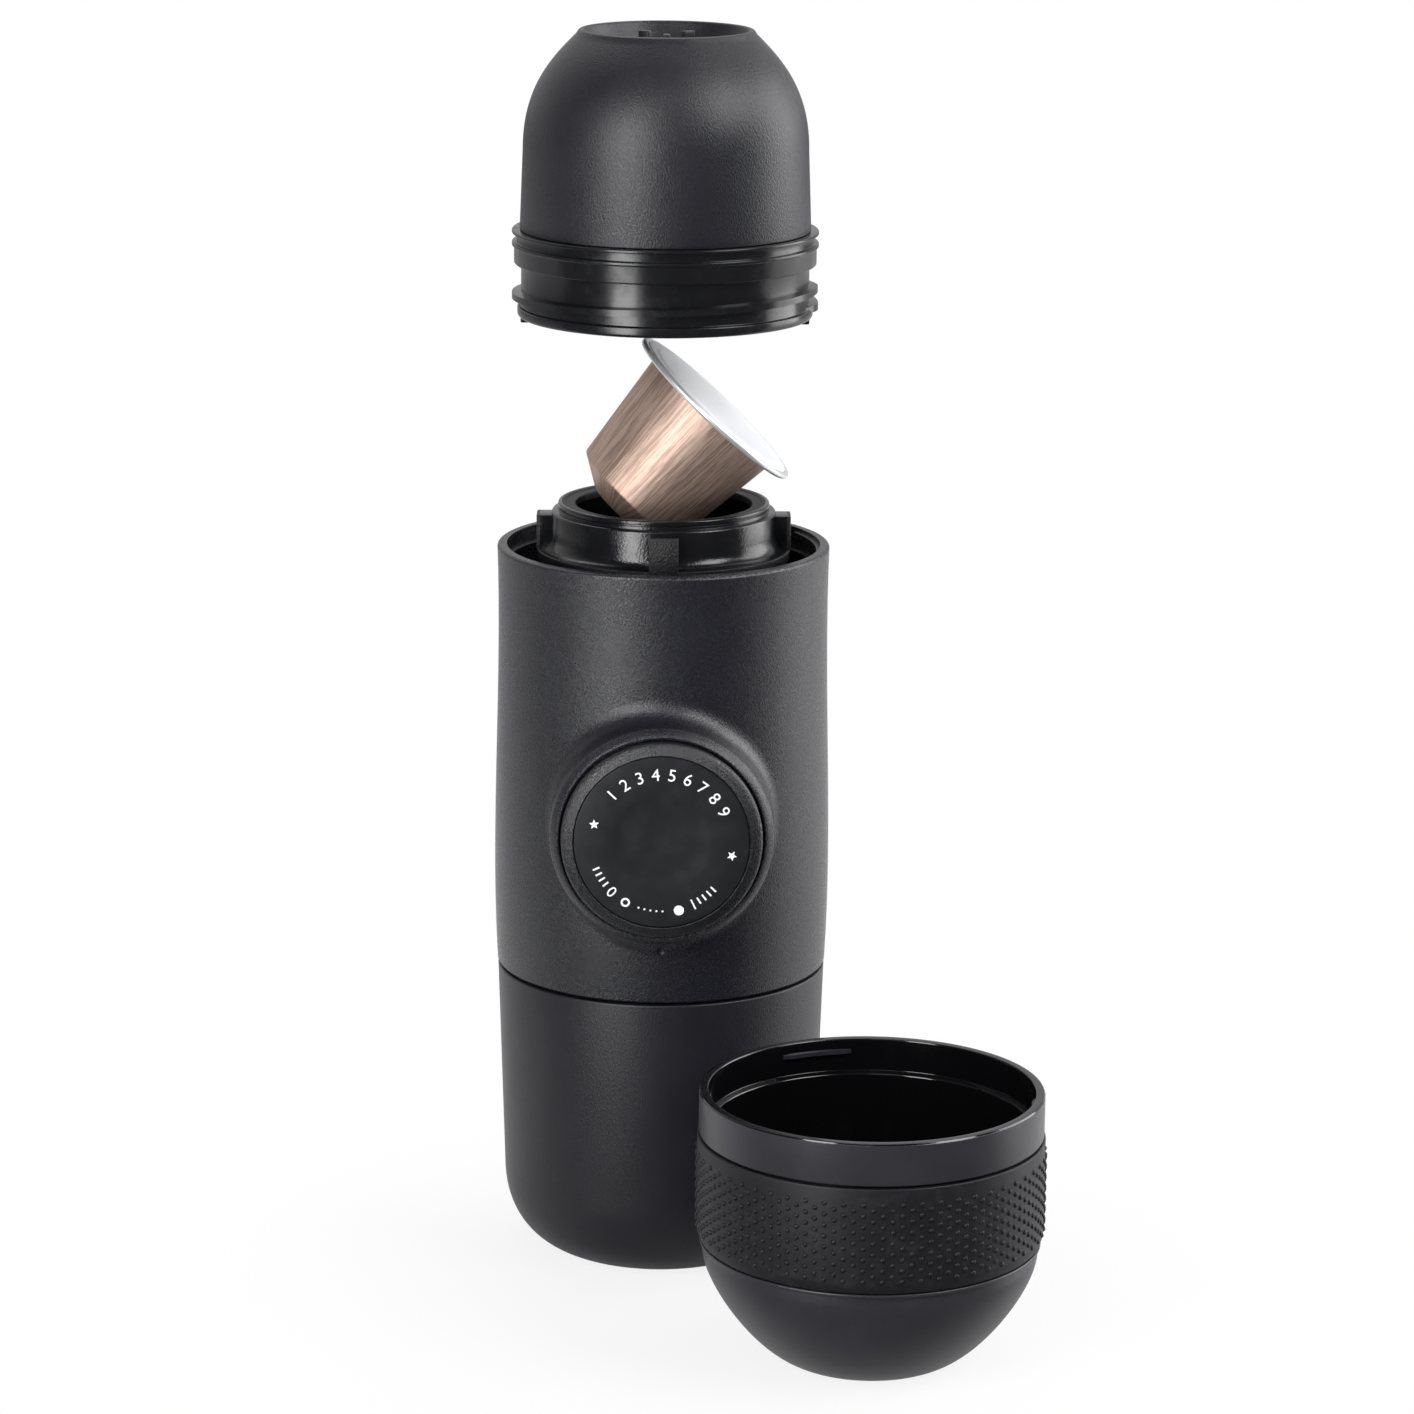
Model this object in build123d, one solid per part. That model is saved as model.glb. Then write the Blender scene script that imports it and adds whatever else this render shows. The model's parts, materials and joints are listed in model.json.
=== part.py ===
from build123d import *
import os
from math import copysign, cos, radians, sin

# Hand-pumped capsule coffee maker, shown opened for loading, with its cup beside it.
# Millimetres, +Z up. The origin is on the table, on the axis of the water tank, and the
# pump knob points along -Y. Radii grow outwards from the capsule and heights upwards from
# the table, so each piece takes its size and place from the ones that it fits.

# Driving dimensions

# Clearances
running_gap = 0.3          # between pieces that move past each other
fit_gap = 0.1              # between pieces that are assembled and stay put
shaft_gap = 0.05           # radial play of a rod in its hole
edge_break = 0.4           # small chamfer on a moulded edge

# Capsule, a standard one with a flange of 37 mm
capsule_top_radius = 14.7
capsule_flange_width = 3.8
capsule_flange_thickness = 0.8
capsule_bead_radius = 0.55
capsule_shoulder_radius = 11.9
capsule_shoulder_depth = 22.0
capsule_nose_radius = 6.0
capsule_nose_depth = 3.8
capsule_wall = 0.5
capsule_lid_thickness = 0.4
capsule_tilt_deg = 43.0
capsule_pivot_out = 8.0
capsule_pivot_drop = 3.0

# Capsule holder
holder_room = 1.8
holder_seal_margin = 0.4
holder_seal_thickness = 1.6
holder_seal_dish = 0.3
holder_seal_rim = 0.3
holder_lip_wall = 0.8
holder_lip_height = 2.0
holder_lip_groove_width = 0.4
holder_lip_groove_depth = 0.35
holder_lip_groove_drop = 1.1
holder_drum_step = 1.3
holder_drum_chamfer = 0.7
holder_rib_reach = 2.7
holder_rib_width = 5.4
holder_rib_count = 4
holder_rib_drop = 2.6
holder_rib_height = 6.1
holder_rib_root = 0.5
holder_flange_thickness = 2.2
holder_flange_slope = 1.5
holder_base_step = 0.6
holder_foot_inset = 1.5
holder_foot_thickness = 2.6
holder_floor = 5.5
holder_stand = 8.0
holder_screw_inset = 4.4
holder_screw_radius = 1.4
holder_screw_head = 2.6
holder_screw_head_height = 1.8
holder_screw_socket = 1.0
holder_screw_count = 4
spike_plate_thickness = 1.5
spike_circle = 9.0
spike_radius = 1.2
spike_point = 0.15
spike_count = 3
spike_hole_radius = 0.8
spike_tip_gap = 0.5
capsule_nose_gap = 0.7

# Outlet head, held above its seat
head_travel = 52.0
skirt_drop = 17.0
skirt_height = 16.0
skirt_room = 0.8
skirt_wall = 2.1
skirt_lip_step = 0.7
skirt_lip_height = 1.9
skirt_lip_bevel = 0.6
band_step = 1.3
band_height = 6.2
band_top_step = 0.5
ridge_step = 0.4
ridge_drop = 2.25
ridge_thickness = 0.7
flange_thickness = 0.6
head_thread_depth = 1.7
head_thread_pitch = 3.6
head_thread_thickness = 1.7
head_thread_rise = 1.85
head_thread_turns = 1.06
head_thread_start_deg = -15.0
tab_width = 2.2
tab_length = 1.5
tab_thickness = 1.6
dome_base_step = 0.25
dome_shoulder_step = 0.3
dome_shoulder_rise = 14.6
dome_rim_radius = 16.0
dome_height = 36.7
dome_wall = 1.9
dome_rim_width = 1.0
dome_side_rise = 11.8
dome_crown_reach = 4.6
dome_crown_drop = 5.0
well_depth = 7.0
well_floor_radius = 11.5
crown_thickness = 2.4
crown_shoulder_width = 1.0
crown_shoulder_height = 1.5
crown_tube_wall = 2.6
nozzle_bore = 2.6
nozzle_wall = 0.8
nozzle_head_radius = 6.4
nozzle_stem_step = 1.6
nozzle_head_height = 2.4
nozzle_below_rim = 2.0
nozzle_arm_count = 3
nozzle_arm_width = 1.3

# Pressure plate in the head
plate_margin = 0.1
plate_thickness = 2.0
plate_hole_radius = 0.6
plate_hole_pitch = 4.0
plate_hole_rings = 3
gasket_width = 1.9
gasket_lap = 1.0
snap_ring_lap = 0.45
snap_ring_height = 1.4
snap_ring_chamfer = 0.8

# Water tank
tank_height = 56.0
tank_top_step = 0.05
tank_taper = 1.25
tank_corner_height = 16.0
tank_corner_drop = 12.1
tank_foot_radius = 17.9
tank_foot_reach = 3.7
tank_wall = 2.0
tank_floor = 2.2
tank_throat_length = 5.0
tank_neck_height = 8.4
tank_neck_wall = 2.0
tank_thread_depth = 1.0
tank_thread_thickness = 1.4
tank_thread_pitch = 3.2
tank_thread_turns = 1.0
tank_thread_rise = 2.0
tank_seal_thickness = 1.5
tank_seal_inset = 0.3

# Main body
seam_gap = 0.5
seam_chamfer = 0.35
body_wall = 2.5
seam_step = 0.05
belly_swell = 0.52
belly_drop = 16.0
waist_rise = 16.0
rim_step = 0.05
rim_rounding = 0.6
rim_bore_depth = 12.0
rim_thread_depth = 0.7
rim_thread_thickness = 1.3
rim_thread_turns = 1.4
rim_thread_drop = 1.3
rim_thread_end_deg = 30.0

# Knob boss and knob
boss_wall = 1.5
boss_stand = 5.88
boss_fillet = 4.0
boss_rounding = 0.7
knob_radius = 18.6
knob_stand = 3.5
knob_slope = 2.2
knob_edge = 0.5
knob_bezel_width = 2.2
knob_bezel_crest = 0.45
knob_wall = 1.8
knob_pocket_depth = 2.8
knob_hub_radius = 7.0
knob_hub_bore = 5.4
dial_thickness = 0.8
dial_sink = 0.36
dial_dish_radius = 9.2
dial_dish_depth = 0.35
sleeve_radius = 15.0
sleeve_wall = 1.6
sleeve_inner_end = 5.6
collar_length = 3.0
lug_height = 1.7
lug_length = 3.0
lug_width_deg = 16.0
lug_count = 2
stop_tab_length = 2.0
stop_tab_gap_deg = 2.0
lock_turn_deg = 14.0
pointer_radius = 1.1
pointer_depth = 0.5
pointer_gap = 3.1

# Pump
cylinder_bore = 6.0
cylinder_wall = 1.6
cylinder_back = 24.5
cylinder_end_wall = 2.5
cylinder_pilot = 3.0
cylinder_flange_step = 2.0
cylinder_flange_thickness = 1.5
piston_length = 4.5
piston_groove_depth = 1.2
piston_groove_width = 2.0
piston_end_gap = 0.5
rod_radius = 3.0
rod_end = 2.0
spring_seat_gap = 0.5
spring_seat_thickness = 1.8
spring_mean_radius = 10.6
spring_wire = 1.4
spring_turns = 7.5
knob_screw_radius = 1.0
knob_screw_depth = 5.0
knob_screw_head = 4.6
knob_screw_head_height = 1.4
knob_screw_slot = 0.8
port_radius = 3.2
port_bore = 1.4
port_setback = 3.6
valve_lip = 0.6
valve_lip_thickness = 0.8
valve_nose = 1.0
valve_bore = 0.8
inlet_socket_depth = 3.0
outlet_socket_height = 2.0
outlet_valve_thickness = 1.0

# Chassis inside the body
deck_thickness = 2.5
guide_rise = 2.9
guide_wall = 1.5
bulkhead_thickness = 2.0
bulkhead_margin = 4.0
pipe_radius = 2.4
pipe_bore = 1.4
pipe_rise = 3.0
pipe_bend = 1.8
pipe_room = 5.4
intake_radius = 2.5
intake_bore = 1.5
strainer_radius = 3.2
strainer_length = 7.0
strainer_floor_gap = 5.0
strainer_slot_width = 0.9
strainer_slot_height = 1.6

# Cup
cup_x = 37.96
cup_y = -61.45
cup_height = 50.3
cup_mouth_room = 0.6
cup_lip_wall = 2.1
cup_band_height = 7.7
cup_sleeve_height = 20.1
cup_foot_radius = 12.0
cup_bowl_step = 0.7
cup_bowl_height = 20.5
cup_bowl_drop = 5.7
cup_foot_reach = 7.6
cup_wall = 2.1
cup_floor = 2.4
cup_ledge_drop = 6.1
cup_sleeve_thickness = 1.3
cup_sleeve_proud = 0.25
cup_sleeve_bevel = 0.9
cup_lug_height = 0.8
cup_lug_thickness = 1.2
cup_lug_span_deg = 34.0
cup_lug_start_deg = 110.0
cup_lug_count = 3
cup_lug_drop = 2.2

# Radii that follow, from the capsule outwards
capsule_flange_radius = capsule_top_radius + capsule_flange_width
holder_bore = capsule_top_radius + holder_room
holder_seal_radius = capsule_flange_radius + holder_seal_margin
holder_lip_radius = holder_seal_radius + holder_lip_wall
holder_drum_radius = holder_lip_radius + holder_drum_step
holder_rib_radius = holder_drum_radius + holder_rib_reach
skirt_bore = holder_rib_radius + skirt_room
skirt_root_radius = skirt_bore + skirt_wall
skirt_lip_radius = skirt_root_radius + skirt_lip_step
band_radius = skirt_root_radius + band_step
ridge_radius = band_radius + ridge_step
head_thread_radius = skirt_root_radius + head_thread_depth
body_bore = head_thread_radius + running_gap
rim_bore = body_bore + rim_thread_depth
body_radius = body_bore + body_wall
seam_radius = body_radius + seam_step
belly_radius = body_radius + belly_swell
rim_radius = body_radius - rim_step
tank_top_radius = body_radius - tank_top_step
tank_low_radius = tank_top_radius - tank_taper
neck_radius = body_bore - running_gap - tank_thread_depth
neck_bore = neck_radius - tank_neck_wall
chassis_radius = body_bore - fit_gap
holder_foot_radius = chassis_radius - holder_foot_inset
holder_screw_circle = holder_foot_radius - holder_screw_inset
plate_radius = capsule_flange_radius + plate_margin
gasket_radius = plate_radius + gasket_width
snap_bore = gasket_radius - snap_ring_lap
dome_base_radius = skirt_root_radius + dome_base_step
dome_shoulder_radius = skirt_root_radius - dome_shoulder_step
spigot_radius = dome_shoulder_radius - dome_wall - fit_gap
crown_tube_radius = nozzle_bore + crown_tube_wall
cup_mouth_radius = ridge_radius + cup_mouth_room
cup_radius = cup_mouth_radius + cup_lip_wall
cup_bowl_radius = cup_radius - cup_bowl_step

# Sizes round the knob's axis, and depths along it from the maker's middle
guide_bore = sleeve_radius + lug_height + running_gap
guide_radius = guide_bore + guide_wall
sleeve_bore = sleeve_radius - sleeve_wall
collar_bore = sleeve_radius + running_gap
boss_radius = knob_radius + running_gap + boss_wall
dial_radius = knob_radius - knob_bezel_width
cylinder_radius = cylinder_bore + cylinder_wall
spring_seat_radius = sleeve_bore - spring_seat_gap
boss_face = belly_radius + boss_stand
knob_front = boss_face + knob_stand
dial_seat = knob_front - dial_sink - dial_thickness
collar_out = boss_face - knob_pocket_depth
collar_in = collar_out - collar_length
cap_back = collar_out + running_gap
cap_floor = dial_seat - knob_wall
bulkhead_front = sleeve_inner_end - 2 * running_gap
bulkhead_back = bulkhead_front - bulkhead_thickness
cylinder_front = bulkhead_front + cylinder_pilot
piston_rest = cylinder_back - cylinder_end_wall - piston_end_gap - piston_length
port_y = cylinder_back - port_setback
seat_front = cap_back - running_gap
seat_back = seat_front - spring_seat_thickness
rod_front = cap_back + rod_end

# Heights that follow, from the table upwards
seam_height = tank_height + seam_gap
neck_top = tank_height + tank_neck_height
seal_bottom = neck_top + fit_gap
lower_deck_bottom = seal_bottom + tank_seal_thickness + fit_gap
lower_deck_top = lower_deck_bottom + deck_thickness
knob_height = lower_deck_top + guide_radius + guide_rise
belly_height = knob_height - belly_drop
waist_height = knob_height + waist_rise
outlet_seat = knob_height + cylinder_radius + outlet_socket_height
pipe_low = outlet_seat + outlet_valve_thickness
pipe_level = pipe_low + pipe_rise
upper_deck_height = pipe_level + pipe_room
upper_deck_top = upper_deck_height + deck_thickness
bore_floor = upper_deck_top + holder_floor
capsule_length = capsule_shoulder_depth + capsule_nose_depth
holder_face = bore_floor + spike_plate_thickness + capsule_nose_gap + capsule_length
rim_height = holder_face - holder_stand
head_bottom = holder_face - skirt_drop + head_travel
dome_bottom = head_bottom + skirt_height
dome_top = dome_bottom + dome_height
well_floor = dome_top - well_depth
plate_bottom = holder_face + capsule_flange_thickness + capsule_lid_thickness + fit_gap + head_travel
plate_top = plate_bottom + plate_thickness
crown_bottom = plate_top + running_gap
crown_top = crown_bottom + crown_thickness
cup_band_bottom = cup_height - cup_band_height
cup_sleeve_bottom = cup_band_bottom - cup_sleeve_height
cup_ledge_height = cup_height - cup_ledge_drop

knob_axis = Plane(origin=(0, 0, knob_height), x_dir=(1, 0, 0), z_dir=(0, -1, 0))
cup_place = Pos(cup_x, cup_y, 0)


# Helpers

def turned(*outline):
    """Revolve a closed outline of edges, drawn as (radius, height), about the Z axis."""
    return revolve(Plane.XZ * make_face(Curve() + list(outline)), Axis.Z)


def turned_points(*points):
    """Revolve a closed polygon of (radius, height) corners about the Z axis."""
    return turned(Polyline(*points, close=True))


def disc(radius, low, high):
    """A cylinder about Z from one height to another."""
    return Pos(0, 0, low) * Cylinder(radius, high - low, align=(Align.CENTER, Align.CENTER, Align.MIN))


def tube(bore, radius, low, high):
    """A ring or tube about Z from one height to another."""
    return disc(radius, low, high) - disc(bore, low, high)


def block(width, depth, low, high):
    """A box centred on Z from one height to another."""
    return Pos(0, 0, low) * Box(width, depth, high - low, align=(Align.CENTER, Align.CENTER, Align.MIN))


def on_knob_axis(shape):
    """Turn a shape that is built along +Z so that it points out along the knob's axis."""
    return knob_axis.location * shape


def around(count, start_deg=0.0):
    """Turns that space a number of copies evenly about Z."""
    return [Rot(0, 0, start_deg + 360.0 * number / count) for number in range(count)]


def wedge(radius, low, high, start_deg, end_deg):
    """A sector of a disc about Z, up to half a turn wide."""
    start = radians(start_deg)
    end = radians(end_deg)
    middle = (start + end) / 2
    reach = radius / cos((end - start) / 4)
    corners = [(0, 0)] + [(reach * cos(angle), reach * sin(angle)) for angle in (
        start, (start + middle) / 2, middle, (middle + end) / 2, end)]
    sector = Pos(0, 0, low) * extrude(make_face(Polyline(*corners, close=True)), high - low)
    return sector & disc(radius, low, high)


def thread_rib(root_radius, crest_radius, thickness, pitch, turns, start_height, start_deg=0.0):
    """One helical rib with sloped flanks, inside or outside the wall that carries it."""
    depth = crest_radius - root_radius
    rooted = -copysign(running_gap, depth)
    half = thickness / 2
    tip_half = half * 0.75
    path = Helix(pitch, pitch * turns, root_radius)
    section = Plane(origin=(root_radius, 0, 0), x_dir=(1, 0, 0), z_dir=(0, -1, 0)) * make_face(
        Polyline((rooted, -half), (depth, -tip_half), (depth, tip_half), (rooted, half), close=True))
    return Pos(0, 0, start_height) * Rot(0, 0, start_deg) * sweep(section, path=path, is_frenet=True)


# Water tank

def make_water_tank():
    """The bowl-shaped tank with its threaded neck."""
    side_top = tank_top_radius - seam_chamfer
    inner_low = tank_low_radius - tank_wall
    inner_top = tank_top_radius - tank_wall
    inner_foot = tank_foot_radius - tank_wall / 2
    throat = tank_height - tank_throat_length
    corner_low = tank_corner_height - tank_corner_drop
    corner = Bezier((tank_low_radius, tank_corner_height), (tank_low_radius, corner_low),
                    (tank_foot_radius + tank_foot_reach, 0), (tank_foot_radius, 0))
    inner_corner = Bezier((inner_foot, tank_floor), (inner_foot + tank_foot_reach, tank_floor),
                          (inner_low, corner_low + tank_floor), (inner_low, tank_corner_height))
    outline = [
        Line((0, 0), (tank_foot_radius, 0)),
        corner,
        Polyline((tank_low_radius, tank_corner_height), (tank_top_radius, tank_height - seam_chamfer),
                 (side_top, tank_height), (neck_radius, tank_height), (neck_radius, neck_top - edge_break),
                 (neck_radius - edge_break, neck_top), (neck_bore, neck_top), (neck_bore, tank_height),
                 (inner_top, throat), (inner_low, tank_corner_height)),
        inner_corner,
        Line((inner_foot, tank_floor), (0, tank_floor)),
        Line((0, tank_floor), (0, 0)),
    ]
    rib = thread_rib(neck_radius, neck_radius + tank_thread_depth, tank_thread_thickness, tank_thread_pitch,
                     tank_thread_turns, tank_height + tank_thread_rise)
    return turned(*outline) + rib


def make_tank_seal():
    """The flat ring that lies on the tank's neck."""
    return tube(neck_bore + tank_seal_inset, neck_radius - tank_seal_inset, seal_bottom,
                seal_bottom + tank_seal_thickness)


# Main body

def body_outside():
    """The solid outer form of the body, before it is hollowed."""
    rim_flat = rim_radius - rim_rounding
    side = Spline((seam_radius, seam_height + seam_chamfer), (belly_radius, belly_height),
                  (body_radius, waist_height), (rim_radius, rim_height - rim_rounding))
    outline = [
        Line((0, seam_height), (seam_radius - seam_chamfer, seam_height)),
        Line((seam_radius - seam_chamfer, seam_height), (seam_radius, seam_height + seam_chamfer)),
        side,
        RadiusArc((rim_radius, rim_height - rim_rounding), (rim_flat, rim_height), -rim_rounding),
        Line((rim_flat, rim_height), (0, rim_height)),
        Line((0, rim_height), (0, seam_height)),
    ]
    return turned(*outline)


def make_body_shell():
    """The tubular body with the raised boss that the knob sits in and the thread in its rim."""
    boss = on_knob_axis(disc(boss_radius, sleeve_inner_end, boss_face))
    outside = body_outside() + boss
    join = [edge for edge in outside.edges().filter_by(
        lambda edge: edge.bounding_box().size.Z > boss_radius and edge.bounding_box().size.Y > boss_rounding)
        if edge.bounding_box().min.Y > boss_rounding - boss_face and edge.center().Y < -body_radius / 2
        and edge.bounding_box().size.Z < 2.1 * boss_radius]
    outside = fillet(join, boss_fillet)
    lip = [edge for edge in outside.edges() if edge.bounding_box().max.Y < fit_gap - boss_face]
    outside = fillet(lip, boss_rounding)
    shell = outside - disc(body_bore, seam_height - 1, rim_height + 1)
    shell -= disc(rim_bore, rim_height - rim_bore_depth, rim_height + 1)
    shell -= on_knob_axis(disc(guide_bore, bulkhead_front, collar_in))
    shell -= on_knob_axis(disc(collar_bore, collar_in - 1, collar_out + 1))
    shell -= on_knob_axis(disc(knob_radius + running_gap, collar_out, boss_face + 1))
    shell += thread_rib(
        rim_bore, body_bore, rim_thread_thickness, head_thread_pitch, rim_thread_turns,
        rim_height - rim_thread_drop - rim_thread_turns * head_thread_pitch,
        rim_thread_end_deg - 360.0 * rim_thread_turns)
    pointer_height = knob_height - boss_radius - pointer_gap
    shell -= Pos(0, pointer_depth - pointer_radius - belly_radius, pointer_height) * Sphere(pointer_radius)
    return shell


def make_pump_chassis():
    """Two decks, the bulkhead between them and the guide that the knob's sleeve turns in."""
    chassis = disc(chassis_radius, lower_deck_bottom, lower_deck_top)
    chassis += disc(chassis_radius, upper_deck_height, upper_deck_top)
    between = disc(chassis_radius, lower_deck_bottom, upper_deck_top)
    width = 2 * (guide_radius + bulkhead_margin)
    chassis += on_knob_axis(block(width, 2 * upper_deck_top, bulkhead_back, bulkhead_front)) & between
    chassis += on_knob_axis(disc(guide_radius, bulkhead_back, 2 * chassis_radius)) & between
    chassis -= on_knob_axis(disc(guide_bore, bulkhead_front, 2 * chassis_radius))
    tab_low = sleeve_inner_end + lug_length + running_gap
    tab_high = tab_low + stop_tab_length
    for turn in around(lug_count):
        tab = wedge(guide_bore + guide_wall / 2, tab_low, tab_high,
                    -lock_turn_deg - lug_width_deg / 2, -stop_tab_gap_deg - lug_width_deg / 2)
        tab -= disc(sleeve_radius + running_gap, tab_low - 1, tab_high + 1)
        chassis += on_knob_axis(turn * tab)
    chassis -= on_knob_axis(disc(cylinder_radius + fit_gap, bulkhead_back - 1, bulkhead_front + 1))
    chassis -= disc(pipe_radius + fit_gap, upper_deck_height - 1, upper_deck_top + 1)
    chassis -= Pos(0, port_y, 0) * disc(port_radius + fit_gap, lower_deck_bottom - 1, lower_deck_top + 1)
    for turn in around(holder_screw_count, 45.0):
        hole = disc(holder_screw_radius + running_gap, upper_deck_height - 1, upper_deck_top + 1)
        chassis -= turn * Pos(holder_screw_circle, 0, 0) * hole
    return chassis


def make_pump_cylinder():
    """The blind cylinder with its inlet port below and outlet port above."""
    flange_back = bulkhead_back - cylinder_flange_thickness
    cylinder = on_knob_axis(disc(cylinder_radius, -cylinder_back, cylinder_front))
    cylinder += on_knob_axis(disc(cylinder_radius + cylinder_flange_step, flange_back, bulkhead_back))
    cylinder += Pos(0, port_y, 0) * disc(port_radius, lower_deck_bottom, outlet_seat)
    cylinder -= on_knob_axis(disc(cylinder_bore, cylinder_end_wall - cylinder_back, cylinder_front + 1))
    cylinder -= Pos(0, port_y, 0) * disc(port_bore, lower_deck_bottom - 1, outlet_seat + 1)
    socket_top = lower_deck_bottom + inlet_socket_depth
    socket = disc(intake_radius + shaft_gap, lower_deck_bottom - 1, socket_top)
    socket += disc(port_bore + valve_lip, lower_deck_bottom, socket_top + valve_lip_thickness)
    return cylinder - Pos(0, port_y, 0) * socket


def make_inlet_valve():
    """The small rubber valve that lets water up into the cylinder."""
    low = lower_deck_bottom + inlet_socket_depth
    lip_top = low + valve_lip_thickness
    valve = turned_points((0, low), (port_bore + valve_lip, low), (port_bore + valve_lip, lip_top),
                          (port_bore - fit_gap, lip_top), (port_bore - valve_lip, lip_top + valve_nose),
                          (0, lip_top + valve_nose))
    return Pos(0, port_y, 0) * valve


def make_outlet_valve():
    """The rubber valve that keeps coffee from coming back into the cylinder."""
    return Pos(0, port_y, 0) * tube(valve_bore, port_radius, outlet_seat, pipe_low)


def make_delivery_pipe():
    """The bent pipe from the pump's outlet to the middle of the capsule holder."""
    path = FilletPolyline((0, port_y, pipe_low), (0, port_y, pipe_level), (0, 0, pipe_level),
                          (0, 0, upper_deck_top), radius=pipe_bend)
    start = Plane(origin=(0, port_y, pipe_low), z_dir=(0, 0, 1))
    return sweep(start * (Circle(pipe_radius) - Circle(pipe_bore)), path=path)


def make_intake_tube():
    """The dip tube from the pump's inlet to the bottom of the tank."""
    low = tank_floor + strainer_floor_gap + strainer_length / 2
    return Pos(0, port_y, 0) * tube(intake_bore, intake_radius, low, lower_deck_bottom + inlet_socket_depth)


def make_intake_strainer():
    """The slotted foot on the dip tube that keeps scale out of the pump."""
    low = tank_floor + strainer_floor_gap
    foot = disc(strainer_radius, low, low + strainer_length)
    foot -= disc(intake_radius + shaft_gap, low + strainer_length / 2, low + strainer_length + 1)
    foot -= disc(intake_bore, low - 1, low + strainer_length)
    for turn in around(3):
        foot -= turn * block(3 * strainer_radius, strainer_slot_width, low - 1, low + strainer_slot_height)
    return Pos(0, port_y, 0) * foot


# Capsule holder

def make_capsule_holder():
    """The ribbed drum whose bore takes the capsule."""
    rib_top = holder_face - holder_rib_drop
    flange_top = rib_top - holder_rib_height
    flange_bottom = flange_top - holder_flange_thickness
    foot_top = upper_deck_top + holder_foot_thickness
    base_radius = holder_drum_radius + holder_base_step
    lip_bottom = holder_face - holder_lip_height
    seal_pocket = holder_seal_radius + shaft_gap
    seal_low = holder_face - holder_seal_thickness
    holder = turned_points(
        (0, upper_deck_top), (holder_foot_radius, upper_deck_top), (holder_foot_radius, foot_top),
        (base_radius, foot_top), (base_radius, flange_bottom - holder_flange_slope),
        (holder_rib_radius, flange_bottom), (holder_rib_radius, flange_top), (holder_drum_radius, flange_top),
        (holder_drum_radius, lip_bottom - holder_drum_chamfer),
        (holder_drum_radius - holder_drum_chamfer, lip_bottom), (holder_lip_radius, lip_bottom),
        (holder_lip_radius, holder_face - edge_break), (holder_lip_radius - edge_break, holder_face),
        (seal_pocket, holder_face), (seal_pocket, seal_low), (holder_bore, seal_low),
        (holder_bore, bore_floor), (0, bore_floor))
    groove_low = holder_face - holder_lip_groove_drop - holder_lip_groove_width
    holder -= tube(holder_lip_radius - holder_lip_groove_depth, holder_rib_radius, groove_low,
                   groove_low + holder_lip_groove_width)
    rib_middle = (holder_drum_radius - holder_rib_root + holder_rib_radius) / 2
    rib_depth = holder_rib_reach + holder_rib_root
    rib = Pos(rib_middle, 0, 0) * block(rib_depth, holder_rib_width, flange_top, rib_top)
    rib = chamfer(rib.edges().group_by(Axis.Z)[-1].group_by(Axis.X)[-1], holder_drum_chamfer)
    for turn in around(holder_rib_count):
        holder += turn * rib
    holder -= disc(port_bore, upper_deck_top - 1, bore_floor + 1)
    pilot = disc(holder_screw_radius + shaft_gap, upper_deck_top - 1, foot_top - edge_break)
    for turn in around(holder_screw_count, 45.0):
        holder -= turn * Pos(holder_screw_circle, 0, 0) * pilot
    return holder


def make_holder_seal():
    """The dished rubber ring that the capsule's flange seals on."""
    low = holder_face - holder_seal_thickness
    rim = holder_seal_radius - holder_seal_rim
    dish = holder_face - holder_seal_dish
    return turned_points((holder_bore, low), (holder_seal_radius, low), (holder_seal_radius, holder_face),
                         (rim, holder_face), (rim - holder_seal_dish, dish), (holder_bore, dish))


def make_spike_plate():
    """The plate at the bottom of the bore whose spikes pierce the capsule's nose."""
    top = bore_floor + spike_plate_thickness
    plate = disc(holder_bore - fit_gap, bore_floor, top)
    nose_slope = capsule_nose_depth / (capsule_shoulder_radius - capsule_nose_radius)
    nose_height = holder_face - capsule_shoulder_depth - nose_slope * (capsule_shoulder_radius - spike_circle)
    spike_height = nose_height - spike_tip_gap - top
    spike = Pos(spike_circle, 0, top + spike_height / 2) * Cone(spike_radius, spike_point, spike_height)
    hole = Pos(spike_circle, 0, 0) * disc(spike_hole_radius, bore_floor - 1, top + 1)
    for turn in around(spike_count, 90.0):
        plate += turn * spike
    for turn in around(spike_count, 30.0):
        plate -= turn * hole
    return plate


def make_holder_screws():
    """The screws that hold the capsule holder down on the upper deck."""
    head_low = upper_deck_height - holder_screw_head_height
    shank_high = upper_deck_top + holder_foot_thickness - 2 * edge_break
    screw = disc(holder_screw_head, head_low, upper_deck_height)
    screw += disc(holder_screw_radius, upper_deck_height, shank_high)
    screw -= disc(holder_screw_socket, head_low - 1, head_low + holder_screw_socket)
    return Compound(children=[
        turn * Pos(holder_screw_circle, 0, 0) * screw for turn in around(holder_screw_count, 45.0)])


# Capsule

def tip(shape):
    """Turn a seated piece of the capsule to the tilt at which it is put in."""
    pivot = Axis((capsule_flange_radius + capsule_pivot_out, 0, holder_face - capsule_pivot_drop), (0, 1, 0))
    return shape.rotate(pivot, capsule_tilt_deg)


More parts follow.
